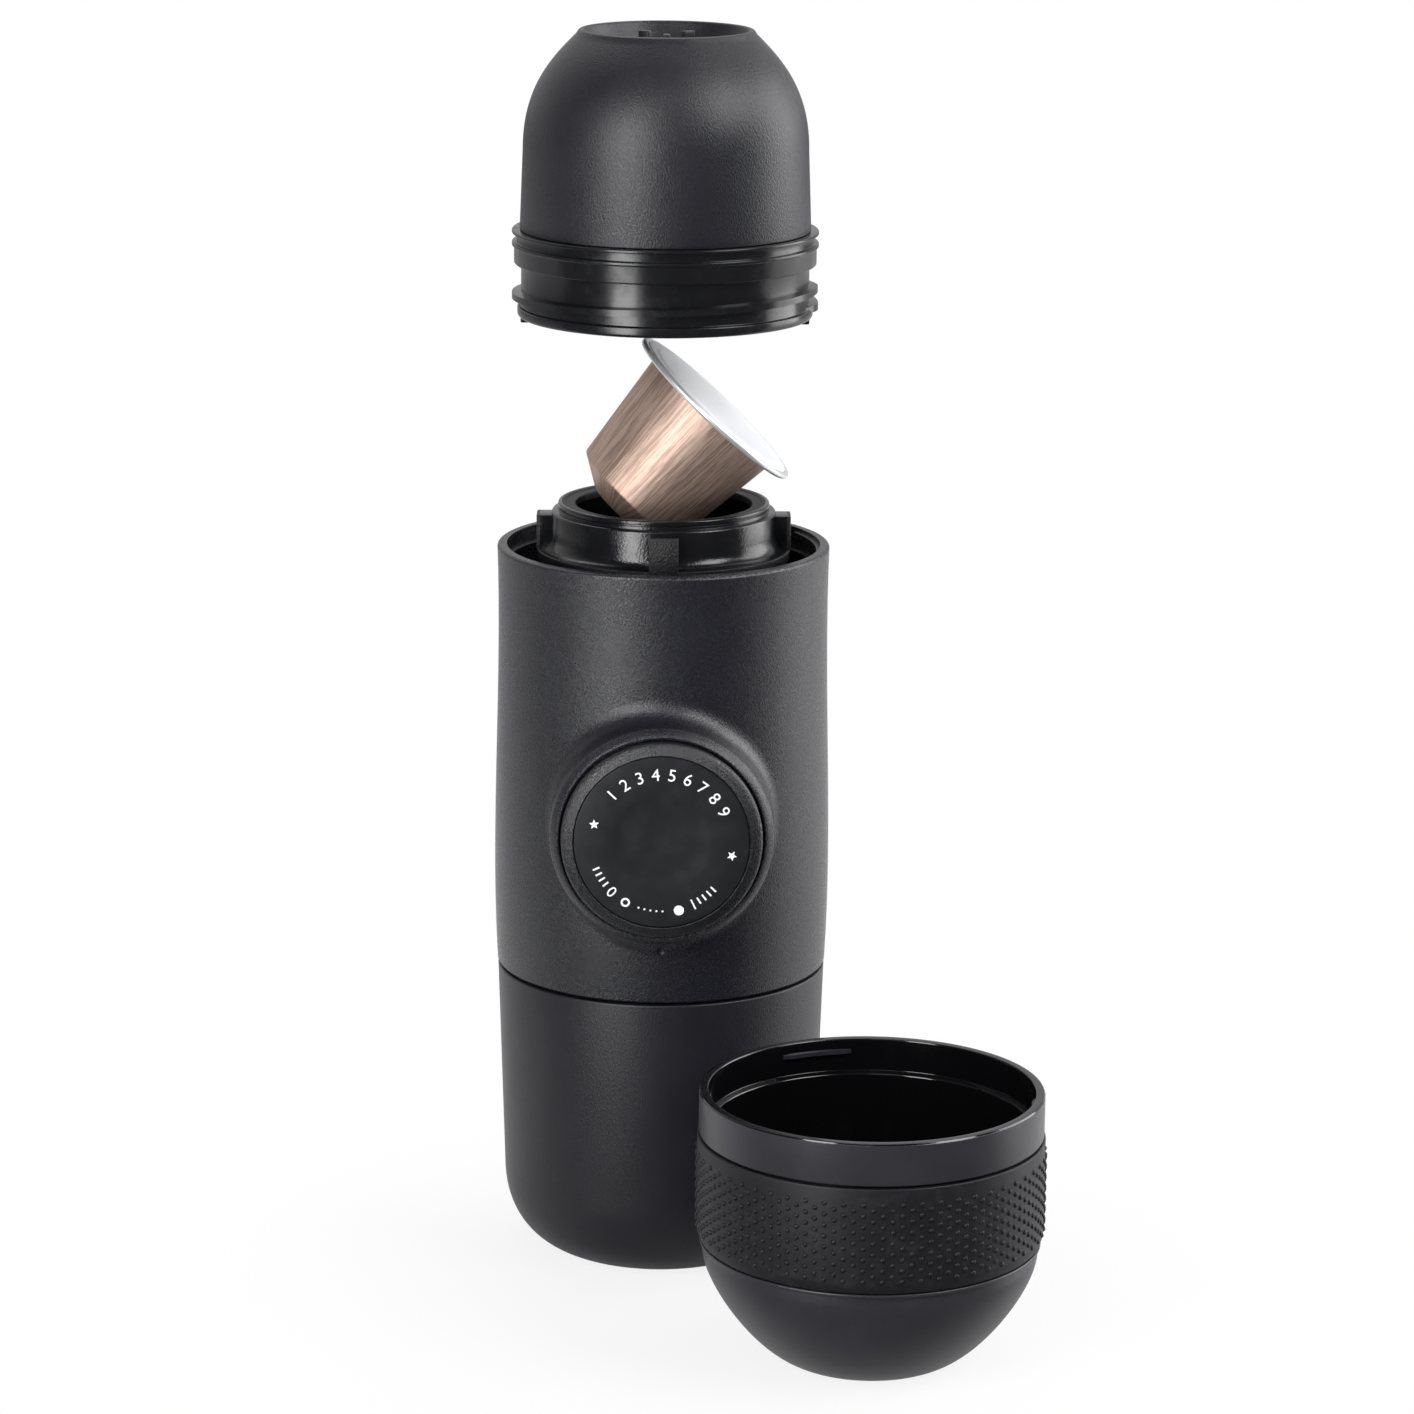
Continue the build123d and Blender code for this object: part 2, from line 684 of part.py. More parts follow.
def make_capsule_shell():
    """The thin metal capsule with its beaded flange."""
    top = holder_face + capsule_flange_thickness
    shoulder = holder_face - capsule_shoulder_depth
    nose = shoulder - capsule_nose_depth
    bead = (capsule_flange_radius - capsule_bead_radius, holder_face + capsule_flange_thickness / 2)
    shell = turned_points(
        (0, nose), (capsule_nose_radius, nose), (capsule_shoulder_radius, shoulder),
        (capsule_top_radius, holder_face), (bead[0], holder_face), (bead[0], top),
        (capsule_top_radius - capsule_wall, top), (capsule_shoulder_radius - capsule_wall, shoulder),
        (capsule_nose_radius, nose + capsule_wall), (0, nose + capsule_wall))
    shell += turned(CenterArc(bead, capsule_bead_radius, 0, 360))
    return tip(shell)


def make_capsule_lid():
    """The foil lid sealed on the flange."""
    top = holder_face + capsule_flange_thickness
    lid_radius = capsule_flange_radius - 2 * capsule_bead_radius - fit_gap
    return tip(disc(lid_radius, top, top + capsule_lid_thickness))


# Pump piston and knob

def make_piston_rod():
    """The rod with the piston at its inner end and the spring's seat at its outer end."""
    middle = -piston_rest - piston_length / 2
    piston = disc(cylinder_bore - 2 * shaft_gap, -piston_rest - piston_length, -piston_rest)
    piston -= tube(cylinder_bore - piston_groove_depth, cylinder_radius,
                   middle - piston_groove_width / 2, middle + piston_groove_width / 2)
    rod = disc(rod_radius, -piston_rest, rod_front) + piston
    rod += disc(spring_seat_radius, seat_back, seat_front)
    rod -= disc(knob_screw_radius, rod_front - knob_screw_depth - rod_end, rod_front + 1)
    return on_knob_axis(rod)


def make_piston_seal():
    """The rubber ring in the piston's groove."""
    middle = -piston_rest - piston_length / 2
    half = piston_groove_width / 2 - shaft_gap
    outer = cylinder_bore - shaft_gap
    inner = cylinder_bore - piston_groove_depth + shaft_gap / 2
    return on_knob_axis(turned_points(
        (inner, middle - half), (outer - edge_break, middle - half), (outer, middle - half + edge_break),
        (outer, middle + half - edge_break), (outer - edge_break, middle + half), (inner, middle + half)))


def make_piston_spring():
    """The coil spring that pushes the knob out again."""
    low = bulkhead_front + spring_wire / 2 + fit_gap
    high = seat_back - spring_wire / 2 - fit_gap
    path = Pos(0, 0, low) * Helix((high - low) / spring_turns, high - low, spring_mean_radius)
    start = Plane(origin=path @ 0, z_dir=path % 0)
    return on_knob_axis(sweep(start * Circle(spring_wire / 2), path=path, is_frenet=True))


def make_knob_screw():
    """The screw under the dial that keeps the knob on the rod."""
    head_low = rod_front + shaft_gap
    head_high = head_low + knob_screw_head_height
    screw = disc(knob_screw_head, head_low, head_high)
    screw += disc(knob_screw_radius - shaft_gap, rod_front - knob_screw_depth, head_low)
    screw -= block(1.3 * knob_screw_head, knob_screw_slot, head_high - knob_screw_slot, head_high + 1)
    return on_knob_axis(screw)


def make_knob_cap():
    """The round cap with its sloped bezel and the hub that turns on the rod."""
    bezel_bore = dial_radius + fit_gap
    slope_start = knob_front - knob_slope
    skirt_bore_radius = knob_radius - knob_wall
    cap = turned_points(
        (0, cap_floor), (skirt_bore_radius, cap_floor), (skirt_bore_radius, cap_back), (knob_radius, cap_back),
        (knob_radius, slope_start), (knob_radius - knob_edge, slope_start + 2 * knob_edge),
        (bezel_bore + knob_bezel_crest, knob_front), (bezel_bore, knob_front - knob_bezel_crest / 2),
        (bezel_bore, dial_seat), (0, dial_seat))
    cap += disc(knob_hub_radius, cap_back, dial_seat)
    cap -= disc(rod_radius + shaft_gap, cap_back - 1, dial_seat + 1)
    cap -= disc(knob_hub_bore, rod_front, dial_seat + 1)
    return on_knob_axis(cap)


def make_knob_sleeve():
    """The sleeve under the cap, with the lugs that lock behind the guide's tabs."""
    lug_end = sleeve_inner_end + lug_length
    half_width = lug_width_deg / 2
    lug = wedge(sleeve_radius + lug_height, sleeve_inner_end, lug_end, -half_width, half_width)
    lug -= disc(sleeve_radius - sleeve_wall / 2, sleeve_inner_end - 1, lug_end + 1)
    sleeve = tube(sleeve_bore, sleeve_radius, sleeve_inner_end, cap_floor)
    for turn in around(lug_count):
        sleeve += turn * lug
    return on_knob_axis(sleeve)


def make_dial_disc():
    """The thin disc on the knob's face, with a shallow dish for the thumb."""
    top = dial_seat + dial_thickness
    dish_sphere = (dial_dish_radius ** 2 + dial_dish_depth ** 2) / (2 * dial_dish_depth)
    dial = disc(dial_radius, dial_seat, top)
    dial -= Pos(0, 0, top + dish_sphere - dial_dish_depth) * Sphere(dish_sphere)
    return on_knob_axis(dial)


# Outlet head

def make_head_skirt():
    """The threaded and ridged skirt that screws into the body's rim."""
    lip_top = head_bottom + skirt_lip_height
    band_bottom = dome_bottom - band_height
    ridge_high = dome_bottom - ridge_drop
    ridge_low = ridge_high - ridge_thickness
    upper_band = band_radius - band_top_step
    flange_low = dome_bottom - flange_thickness
    crown_seat = dome_bottom - crown_shoulder_height
    seat_radius = skirt_bore + crown_shoulder_width + fit_gap
    skirt = turned_points(
        (skirt_bore, head_bottom), (skirt_lip_radius - skirt_lip_bevel, head_bottom),
        (skirt_lip_radius, head_bottom + skirt_lip_bevel), (skirt_lip_radius, lip_top - edge_break),
        (skirt_root_radius, lip_top), (skirt_root_radius, band_bottom), (band_radius, band_bottom),
        (band_radius, ridge_low), (ridge_radius, ridge_low), (ridge_radius, ridge_high), (upper_band, ridge_high),
        (upper_band, flange_low), (ridge_radius, flange_low), (ridge_radius, dome_bottom),
        (seat_radius, dome_bottom), (seat_radius, crown_seat), (skirt_bore, crown_seat))
    skirt += thread_rib(skirt_root_radius, head_thread_radius, head_thread_thickness, head_thread_pitch,
                        head_thread_turns, head_bottom + head_thread_rise, head_thread_start_deg)
    tab = Pos((skirt_bore + skirt_lip_radius) / 2, 0, 0) * block(
        tab_thickness, tab_width, head_bottom - tab_length, head_bottom + tab_thickness)
    for turn in around(2):
        skirt += turn * tab
    return skirt


def make_head_crown():
    """The crown that drops into the skirt, holds the pressure plate and feeds the spout."""
    snap_top = plate_bottom - gasket_lap - running_gap
    snap_low = snap_top - snap_ring_height
    pocket = gasket_radius + running_gap
    tube_top = well_floor - dome_wall
    crown_radius = skirt_bore - fit_gap
    crown_seat = dome_bottom - crown_shoulder_height
    shoulder_radius = skirt_bore + crown_shoulder_width
    return turned_points(
        (nozzle_bore, crown_bottom), (pocket, crown_bottom), (pocket, snap_top), (snap_bore, snap_top),
        (snap_bore, snap_low), (crown_radius, snap_low - snap_ring_chamfer), (crown_radius, crown_seat),
        (shoulder_radius, crown_seat), (shoulder_radius, dome_bottom), (spigot_radius, dome_bottom),
        (spigot_radius, crown_top), (crown_tube_radius, crown_top), (crown_tube_radius, tube_top),
        (nozzle_bore, tube_top))


def make_head_dome():
    """The domed cover, open at the top where its lip turns down into the outlet well."""
    base = dome_bottom + shaft_gap
    shoulder = dome_bottom + dome_shoulder_rise
    rim_edge = dome_top - edge_break
    under_well = well_floor - dome_wall
    inner_shoulder = dome_shoulder_radius - dome_wall
    inner_base = dome_base_radius - dome_wall
    inner_well = well_floor_radius + dome_wall
    hole = nozzle_head_radius - nozzle_stem_step
    side = Bezier((dome_shoulder_radius, shoulder), (dome_shoulder_radius, shoulder + dome_side_rise),
                  (dome_rim_radius + dome_crown_reach, dome_top - dome_crown_drop), (dome_rim_radius, rim_edge))
    cavity = Bezier((inner_well, under_well), (dome_rim_radius + dome_crown_reach - dome_wall, under_well),
                    (inner_shoulder, shoulder + dome_side_rise - dome_wall), (inner_shoulder, shoulder))
    outline = [
        Line((inner_base, base), (dome_base_radius, base)),
        Line((dome_base_radius, base), (dome_shoulder_radius, shoulder)),
        side,
        Polyline((dome_rim_radius, rim_edge), (dome_rim_radius - edge_break, dome_top),
                 (dome_rim_radius - dome_rim_width, rim_edge), (well_floor_radius, well_floor),
                 (hole, well_floor), (hole, under_well), (inner_well, under_well)),
        cavity,
        Line((inner_shoulder, shoulder), (inner_base, base)),
    ]
    return turned(*outline)


def make_spout_nozzle():
    """The outlet piece in the well, with its raised arms."""
    low = well_floor + shaft_gap
    high = dome_top - nozzle_below_rim
    bore = nozzle_bore - nozzle_wall
    stem_radius = nozzle_head_radius - nozzle_stem_step - shaft_gap
    nozzle = tube(bore, stem_radius, low - dome_wall, high - nozzle_stem_step)
    nozzle += tube(bore, nozzle_head_radius, low, low + nozzle_head_height)
    arm_length = nozzle_head_radius / 2
    arm = Pos(nozzle_head_radius - arm_length / 2, 0, 0) * block(arm_length, nozzle_arm_width, low, high)
    for turn in around(nozzle_arm_count, 30.0):
        nozzle += turn * arm
    return nozzle


def make_pressure_plate():
    """The perforated plate that presses on the capsule's lid."""
    plate = disc(plate_radius, plate_bottom, plate_top)
    hole = disc(plate_hole_radius, plate_bottom - 1, plate_top + 1)
    for ring in range(1, plate_hole_rings + 1):
        for turn in around(6 * ring):
            plate -= turn * Pos(ring * plate_hole_pitch, 0, 0) * hole
    return plate


def make_plate_gasket():
    """The rubber ring round the plate that seals over the capsule's flange."""
    return tube(plate_radius, gasket_radius, plate_bottom - gasket_lap, plate_top)


# Cup

def make_cup_shell():
    """The drinking cup, which screws over the head when the maker is packed."""
    groove_radius = cup_radius - cup_sleeve_thickness
    rim_edge = cup_height - edge_break
    inner_top = cup_bowl_radius - cup_wall
    inner_foot = cup_foot_radius - cup_wall / 2
    bowl_low = cup_bowl_height - cup_bowl_drop
    bowl = Bezier((cup_foot_radius, 0), (cup_foot_radius + cup_foot_reach, 0), (cup_bowl_radius, bowl_low),
                  (cup_bowl_radius, cup_bowl_height))
    inside = Bezier((inner_top, cup_bowl_height), (inner_top, bowl_low), (inner_foot + cup_foot_reach, cup_floor),
                    (inner_foot, cup_floor))
    outline = [
        Line((0, 0), (cup_foot_radius, 0)),
        bowl,
        Polyline((cup_bowl_radius, cup_bowl_height), (cup_bowl_radius, cup_sleeve_bottom),
                 (groove_radius, cup_sleeve_bottom), (groove_radius, cup_band_bottom),
                 (cup_radius, cup_band_bottom), (cup_radius, rim_edge), (cup_radius - edge_break, cup_height),
                 (cup_mouth_radius + edge_break, cup_height), (cup_mouth_radius, rim_edge),
                 (cup_mouth_radius, cup_ledge_height), (inner_top, cup_ledge_height - edge_break),
                 (inner_top, cup_bowl_height)),
        inside,
        Line((inner_foot, cup_floor), (0, cup_floor)),
        Line((0, cup_floor), (0, 0)),
    ]
    cup = turned(*outline)
    lug_top = cup_height - cup_lug_drop
    lug_low = lug_top - cup_lug_thickness
    lug = wedge(cup_mouth_radius + edge_break, lug_low, lug_top, 0.0, cup_lug_span_deg)
    lug -= disc(cup_mouth_radius - cup_lug_height, lug_low - 1, lug_top + 1)
    for turn in around(cup_lug_count, cup_lug_start_deg):
        cup += turn * lug
    return cup_place * cup


def make_cup_sleeve():
    """The rubber band round the cup."""
    inner = cup_radius - cup_sleeve_thickness
    outer = cup_radius + cup_sleeve_proud
    sleeve = turned_points(
        (inner, cup_sleeve_bottom), (outer - cup_sleeve_bevel, cup_sleeve_bottom),
        (outer, cup_sleeve_bottom + 2 * cup_sleeve_bevel), (outer, cup_band_bottom - edge_break),
        (outer - edge_break, cup_band_bottom), (inner, cup_band_bottom))
    return cup_place * sleeve


parts = {
    "water_tank": make_water_tank,
    "tank_seal": make_tank_seal,
    "body_shell": make_body_shell,
    "pump_chassis": make_pump_chassis,
    "pump_cylinder": make_pump_cylinder,
    "inlet_valve": make_inlet_valve,
    "outlet_valve": make_outlet_valve,
    "delivery_pipe": make_delivery_pipe,
    "intake_tube": make_intake_tube,
    "intake_strainer": make_intake_strainer,
    "capsule_holder": make_capsule_holder,
    "holder_seal": make_holder_seal,
    "spike_plate": make_spike_plate,
    "holder_screws": make_holder_screws,
    "capsule_shell": make_capsule_shell,
    "capsule_lid": make_capsule_lid,
    "piston_rod": make_piston_rod,
    "piston_seal": make_piston_seal,
    "piston_spring": make_piston_spring,
    "knob_screw": make_knob_screw,
    "knob_cap": make_knob_cap,
    "knob_sleeve": make_knob_sleeve,
    "dial_disc": make_dial_disc,
    "head_skirt": make_head_skirt,
    "head_crown": make_head_crown,
    "head_dome": make_head_dome,
    "spout_nozzle": make_spout_nozzle,
    "pressure_plate": make_pressure_plate,
    "plate_gasket": make_plate_gasket,
    "cup_shell": make_cup_shell,
    "cup_sleeve": make_cup_sleeve,
}

os.makedirs("parts", exist_ok=True)
for node, make in parts.items():
    export_step(make(), f"parts/{node}.step")
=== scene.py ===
"""Looks of a hand-pumped capsule coffee maker, opened for loading, with its cup beside it.

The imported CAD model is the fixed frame. Each sub-assembly is a class that holds its sizes in
millimetres, models its visible pieces with bmesh operators and dresses the CAD nodes that
stay. Every finish is a procedural material.
"""
from __future__ import annotations

import json
import logging
import math
from dataclasses import dataclass
from enum import Enum
from typing import Any, NamedTuple, Sequence

import bmesh
import bpy
from mathutils import Matrix, Vector
from mathutils.geometry import interpolate_bezier

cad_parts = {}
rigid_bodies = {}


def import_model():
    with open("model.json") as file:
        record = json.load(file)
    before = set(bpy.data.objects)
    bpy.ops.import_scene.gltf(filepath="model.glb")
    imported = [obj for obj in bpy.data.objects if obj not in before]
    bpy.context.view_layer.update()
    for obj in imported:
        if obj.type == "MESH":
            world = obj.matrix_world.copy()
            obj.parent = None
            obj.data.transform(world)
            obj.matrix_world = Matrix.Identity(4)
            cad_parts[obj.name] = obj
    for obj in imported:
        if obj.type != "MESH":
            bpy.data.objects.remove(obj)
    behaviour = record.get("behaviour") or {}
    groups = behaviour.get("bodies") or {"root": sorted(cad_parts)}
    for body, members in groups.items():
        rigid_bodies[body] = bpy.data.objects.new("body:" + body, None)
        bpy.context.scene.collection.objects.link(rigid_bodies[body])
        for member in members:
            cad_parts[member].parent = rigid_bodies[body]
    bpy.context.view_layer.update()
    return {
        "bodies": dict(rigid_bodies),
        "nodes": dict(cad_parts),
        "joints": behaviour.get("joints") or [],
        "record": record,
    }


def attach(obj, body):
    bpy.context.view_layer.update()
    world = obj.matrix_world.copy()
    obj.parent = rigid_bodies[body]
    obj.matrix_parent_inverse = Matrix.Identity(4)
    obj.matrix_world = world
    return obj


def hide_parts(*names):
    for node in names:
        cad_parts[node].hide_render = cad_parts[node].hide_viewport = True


MM = 0.001
FULL_TURN = 2.0 * math.pi
POLISHED = 1.0
CREASE_DEG = 35.0
FINE_STEPS = 192
Colour = tuple[float, float, float]
Point = tuple[float, float]
log = logging.getLogger("coffee_maker")


class Around(Enum):
    """The axes that pieces are turned about: a point on the axis, and the turn from +Z."""

    MAKER = (0.0, 0.0, 0.0, 0.0)
    KNOB = (0.0, 0.0, 90.0, 90.0)
    CUP = (37.96, -61.45, 0.0, 0.0)

    @property
    def matrix(self) -> Matrix:
        """The move from a piece built about +Z at the origin to its place, in millimetres."""
        x, y, z, turn = self.value
        return Matrix.Translation((x, y, z)) @ Matrix.Rotation(math.radians(turn), 4, "X")


# Shader expressions


@dataclass(frozen=True)
class Signal:
    """A socket of a material's node tree that takes part in Python arithmetic."""

    graph: Graph
    socket: bpy.types.NodeSocket

    def __add__(self, other: Value) -> Signal:
        """The sum of two values."""
        return self.graph.maths("ADD", self, other)

    __radd__ = __add__

    def __sub__(self, other: Value) -> Signal:
        """This value less another."""
        return self.graph.maths("SUBTRACT", self, other)

    def __rsub__(self, other: Value) -> Signal:
        """Another value less this one."""
        return self.graph.maths("SUBTRACT", other, self)

    def __mul__(self, other: Value) -> Signal:
        """The product of two values."""
        return self.graph.maths("MULTIPLY", self, other)

    __rmul__ = __mul__


Value = Signal | float


class Graph:
    """A node tree under construction."""

    def __init__(self, tree: bpy.types.NodeTree) -> None:
        """Starts from an empty tree.

        Args:
            tree: The tree of a material or of the world.
        """
        self.tree = tree
        self.tree.nodes.clear()

    def node(self, kind: str, settings: dict[str, Any] | None = None,
             sockets: dict[Any, Any] | None = None, output: str | int = 0) -> Signal:
        """Adds any node.

        Args:
            kind: The node's type.
            settings: Its settings, set first.
            sockets: Values or signals for its inputs, by name or number.
            output: Which output is handed back.

        Returns:
            The chosen output as a signal.
        """
        node = self.tree.nodes.new(kind)
        for name, value in (settings or {}).items():
            setattr(node, name, value)
        for key, value in (sockets or {}).items():
            self.feed(node.inputs[key], value)
        return Signal(self, node.outputs[output])

    def feed(self, socket: bpy.types.NodeSocket, value: Any) -> None:
        """Links a signal to an input, or sets the input's own value.

        Args:
            socket: The input.
            value: A signal, a number, a vector or a colour.
        """
        if isinstance(value, Signal):
            self.tree.links.new(value.socket, socket)
        elif socket.type == "RGBA" and len(value) == 3:
            socket.default_value = (*value, 1.0)
        else:
            socket.default_value = value

    def maths(self, operation: str, *values: Value) -> Signal:
        """One Math node on the given values."""
        return self.node("ShaderNodeMath", {"operation": operation}, dict(enumerate(values)))

    def off_axis(self, x: Signal, y: Signal) -> Signal:
        """The distance of a point from the Z axis."""
        return self.maths("SQRT", x * x + y * y)

    def between(self, value: Signal, low: float, high: float, at_low: float = 0.0,
                at_high: float = 1.0) -> Signal:
        """A smooth step of a value from one level to another, held outside the two limits."""
        sockets = {"Value": value, "From Min": low, "From Max": high, "To Min": at_low, "To Max": at_high}
        return self.node("ShaderNodeMapRange", {"interpolation_type": "SMOOTHSTEP"}, sockets)

    def blend(self, share: Value, first: Any, second: Any) -> Signal:
        """A mix of two colours by a share from 0 to 1."""
        sockets = {"Factor": share, 6: first, 7: second}
        return self.node("ShaderNodeMix", {"data_type": "RGBA"}, sockets, 2)

    def place(self, shift: Sequence[float] = (0, 0, 0), turn: Sequence[float] = (0, 0, 0),
              stretch: Sequence[float] = (1, 1, 1)) -> Signal:
        """Object coordinates in millimetres, moved, turned and stretched for a pattern.

        Args:
            shift: The pattern's origin, in millimetres.
            turn: The turn about X, Y and Z, in degrees.
            stretch: How much finer the pattern is along each axis.

        Returns:
            The coordinates as a vector signal.
        """
        here = self.node("ShaderNodeTexCoord", output="Object")
        moved = self.node("ShaderNodeVectorMath", {"operation": "MULTIPLY_ADD"},
                          {0: here, 1: (1 / MM,) * 3, 2: tuple(-part for part in shift)})
        turned = self.node("ShaderNodeVectorRotate", {"rotation_type": "EULER_XYZ"},
                           {"Vector": moved, "Rotation": tuple(math.radians(part) for part in turn)})
        return self.node("ShaderNodeVectorMath", {"operation": "MULTIPLY"}, {0: turned, 1: tuple(stretch)})

    def axes(self, vector: Signal) -> tuple[Signal, Signal, Signal]:
        """The three parts of a vector."""
        node = self.node("ShaderNodeSeparateXYZ", sockets={0: vector}).socket.node
        return tuple(Signal(self, socket) for socket in node.outputs)

    def noise(self, vector: Signal, size_mm: float, detail: float = 2.0, roughness: float = 0.5) -> Signal:
        """A noise field whose features are about size_mm across."""
        sockets = {"Vector": vector, "Scale": 1.0 / size_mm, "Detail": detail, "Roughness": roughness}
        return self.node("ShaderNodeTexNoise", sockets=sockets)

    def bump(self, height: Signal, depth_mm: float, strength: float = 1.0,
             normal: Signal | None = None) -> Signal:
        """A bump of the given depth, on top of another normal where one is given."""
        sockets = {"Height": height, "Distance": depth_mm * MM, "Strength": strength}
        return self.node("ShaderNodeBump", sockets=sockets | ({"Normal": normal} if normal else {}),
                         output="Normal")

    def ray(self, kind: str) -> Signal:
        """1 for rays of one kind, 0 for the others."""
        return self.node("ShaderNodeLightPath", output=f"Is {kind} Ray")


class Bench(Graph):
    """A material under construction, with its Principled shader."""

    def __init__(self, name: str) -> None:
        """Starts an empty material.

        Args:
            name: The material's name.
        """
        self.material = bpy.data.materials.new(name)
        self.material.use_nodes = True
        super().__init__(self.material.node_tree)
        self.output = self.tree.nodes.new("ShaderNodeOutputMaterial")
        self.shader = self.node("ShaderNodeBsdfPrincipled")
        self.feed(self.output.inputs["Surface"], self.shader)

    def set(self, **sockets: Any) -> None:
        """Feeds the Principled shader, with underscores in the names of its sockets."""
        for name, value in sockets.items():
            self.feed(self.shader.socket.node.inputs[name.replace("_", " ")], value)


# Finishes


def tinted(colour: Colour, share: float, lift: float = 0.0) -> Colour:
    """A colour made paler or darker by a share, and lifted by a step."""
    return tuple(min(1.0, part * share + lift) for part in colour)


@dataclass(frozen=True)
class Finish:
    """What every finish has: a name, and a way to lay it on."""

    name: str

    def lay(self, bench: Bench) -> None:
        """Feeds the shader of an empty material."""
        raise NotImplementedError

    def material(self) -> bpy.types.Material:
        """Makes the material.

        Returns:
            The material, ready for a piece.
        """
        bench = Bench(self.name)
        self.lay(bench)
        return bench.material


@dataclass(frozen=True)
class GrainedPlastic(Finish):
    """Black plastic from a spark-eroded mould, with a fine leather-like grain.

    The mesh's attribute "polish" is 1 where the mould is polished and the grain ends.
    """

    colour: Colour = (0.0087, 0.0088, 0.0130)
    roughness: float = 0.27
    grain_mm: float = 0.27
    grain_depth: float = 0.033
    specular: float = 0.65
    polished: Colour = (0.0030, 0.0030, 0.0036)
    polished_roughness: float = 0.10
    grain_lean_deg: float = 28.0
    grain_stretch: float = 0.62
    cloud_mm: float = 9.0

    def lay(self, bench: Bench) -> None:
        """Lays pebbles of grain over a slow drift of colour and roughness.

        Args:
            bench: The material under construction.
        """
        leaning = bench.place(turn=(0, self.grain_lean_deg, 0), stretch=(1.0, 1.0, self.grain_stretch))
        pebbles = bench.noise(leaning, self.grain_mm, 3.0, 0.62)
        cloud = bench.noise(bench.place(), self.cloud_mm)
        smooth = bench.node("ShaderNodeAttribute", {"attribute_name": "polish"}, output="Fac")
        grain = bench.between(pebbles, 0.32, 0.7) * (1.0 - smooth)
        matt = self.roughness + 0.06 * (cloud - 0.5) + 0.10 * (pebbles - 0.5)
        grained = bench.blend(bench.between(cloud, 0.3, 0.75), self.colour, tinted(self.colour, 1.16))
        bench.set(Specular_IOR_Level=self.specular,
                  Base_Color=bench.blend(smooth, grained, self.polished),
                  Roughness=matt * (1.0 - smooth) + self.polished_roughness * smooth,
                  Normal=bench.bump(grain, self.grain_depth))


@dataclass(frozen=True)
class GlossPlastic(Finish):
    """Black plastic from a polished mould, with faint ripples, orange peel and handling haze.

    Past matt_beyond_mm from the maker's axis, where it is given, the surface is matt.
    """

    colour: Colour = (0.004, 0.004, 0.005)
    roughness: float = 0.13
    peel_depth: float = 0.002
    matt_beyond_mm: float = 0.0
    matt_roughness: float = 0.42
    matt_depth: float = 0.22

    def lay(self, bench: Bench) -> None:
        """Lays haze, ripples and peel, and the matt part where there is one.

        Args:
            bench: The material under construction.
        """
        here = bench.place()
        haze = bench.noise(here, 3.2, 4.0, 0.65)
        rough = self.roughness + 0.10 * bench.between(haze, 0.42, 0.75)
        ripple = bench.bump(bench.noise(here, 5.0, 1.0), 0.03, 0.6)
        normal = bench.bump(bench.noise(here, 0.42), self.peel_depth, 1.0, ripple)
        if self.matt_beyond_mm:
            x, y, _ = bench.axes(here)
            edge = self.matt_beyond_mm
            outside = bench.between(bench.off_axis(x, y), edge - 0.1, edge)
            rough = rough * (1.0 - outside) + self.matt_roughness * outside
            grain = bench.noise(here, 0.4, 2.0, 0.7)
            normal = bench.bump(grain * outside, self.matt_depth, 1.0, normal)
        bench.set(Base_Color=bench.blend(haze, self.colour, tinted(self.colour, 1.5)), Roughness=rough,
                  Normal=normal)


@dataclass(frozen=True)
class SoftRubber(Finish):
    """Moulded rubber or silicone with a dusty surface."""

    colour: Colour = (0.0081, 0.0083, 0.0112)
    roughness: float = 0.48
    see_through: float = 0.0

    def lay(self, bench: Bench) -> None:
        """Lays patches of dust over a fine skin.

        Args:
            bench: The material under construction.
        """
        here = bench.place()
        skin = bench.noise(here, 0.3, 3.0, 0.6)
        dust = bench.noise(here, 2.4, 4.0, 0.6)
        dusty = bench.blend(bench.between(dust, 0.45, 0.8), self.colour, tinted(self.colour, 1.4, 0.004))
        bench.set(Transmission_Weight=self.see_through, Specular_IOR_Level=0.35, Base_Color=dusty,
                  Roughness=self.roughness + 0.12 * (dust - 0.5), Normal=bench.bump(skin, 0.03))


@dataclass(frozen=True)
class BrushedMetal(Finish):
    """Bare metal with the marks of its last tool."""

    colour: Colour = (0.62, 0.62, 0.62)
    roughness: float = 0.28
    stretch: tuple[float, float, float] = (1.0, 1.0, 12.0)

    def lay(self, bench: Bench) -> None:
        """Lays tool marks and stains.

        Args:
            bench: The material under construction.
        """
        marks = bench.noise(bench.place(stretch=self.stretch), 0.8, 3.0, 0.6)
        stain = bench.noise(bench.place(), 4.0, 3.0)
        bench.set(Metallic=1.0, Base_Color=bench.blend(stain, self.colour, tinted(self.colour, 0.82)),
                  Roughness=self.roughness + 0.16 * (marks - 0.5), Normal=bench.bump(marks, 0.01))


@dataclass(frozen=True)
class Acetal(Finish):
    """Natural white moulding, slightly waxy."""

    colour: Colour = (0.76, 0.76, 0.73)
    roughness: float = 0.38

    def lay(self, bench: Bench) -> None:
        """Lays the flow of the melt over a fine skin.

        Args:
            bench: The material under construction.
        """
        here = bench.place()
        flow = bench.noise(here, 3.0, 3.0)
        bench.set(Base_Color=bench.blend(flow, self.colour, tinted(self.colour, 0.94)),
                  Roughness=self.roughness + 0.1 * (flow - 0.5),
                  Normal=bench.bump(bench.noise(here, 0.4), 0.01))


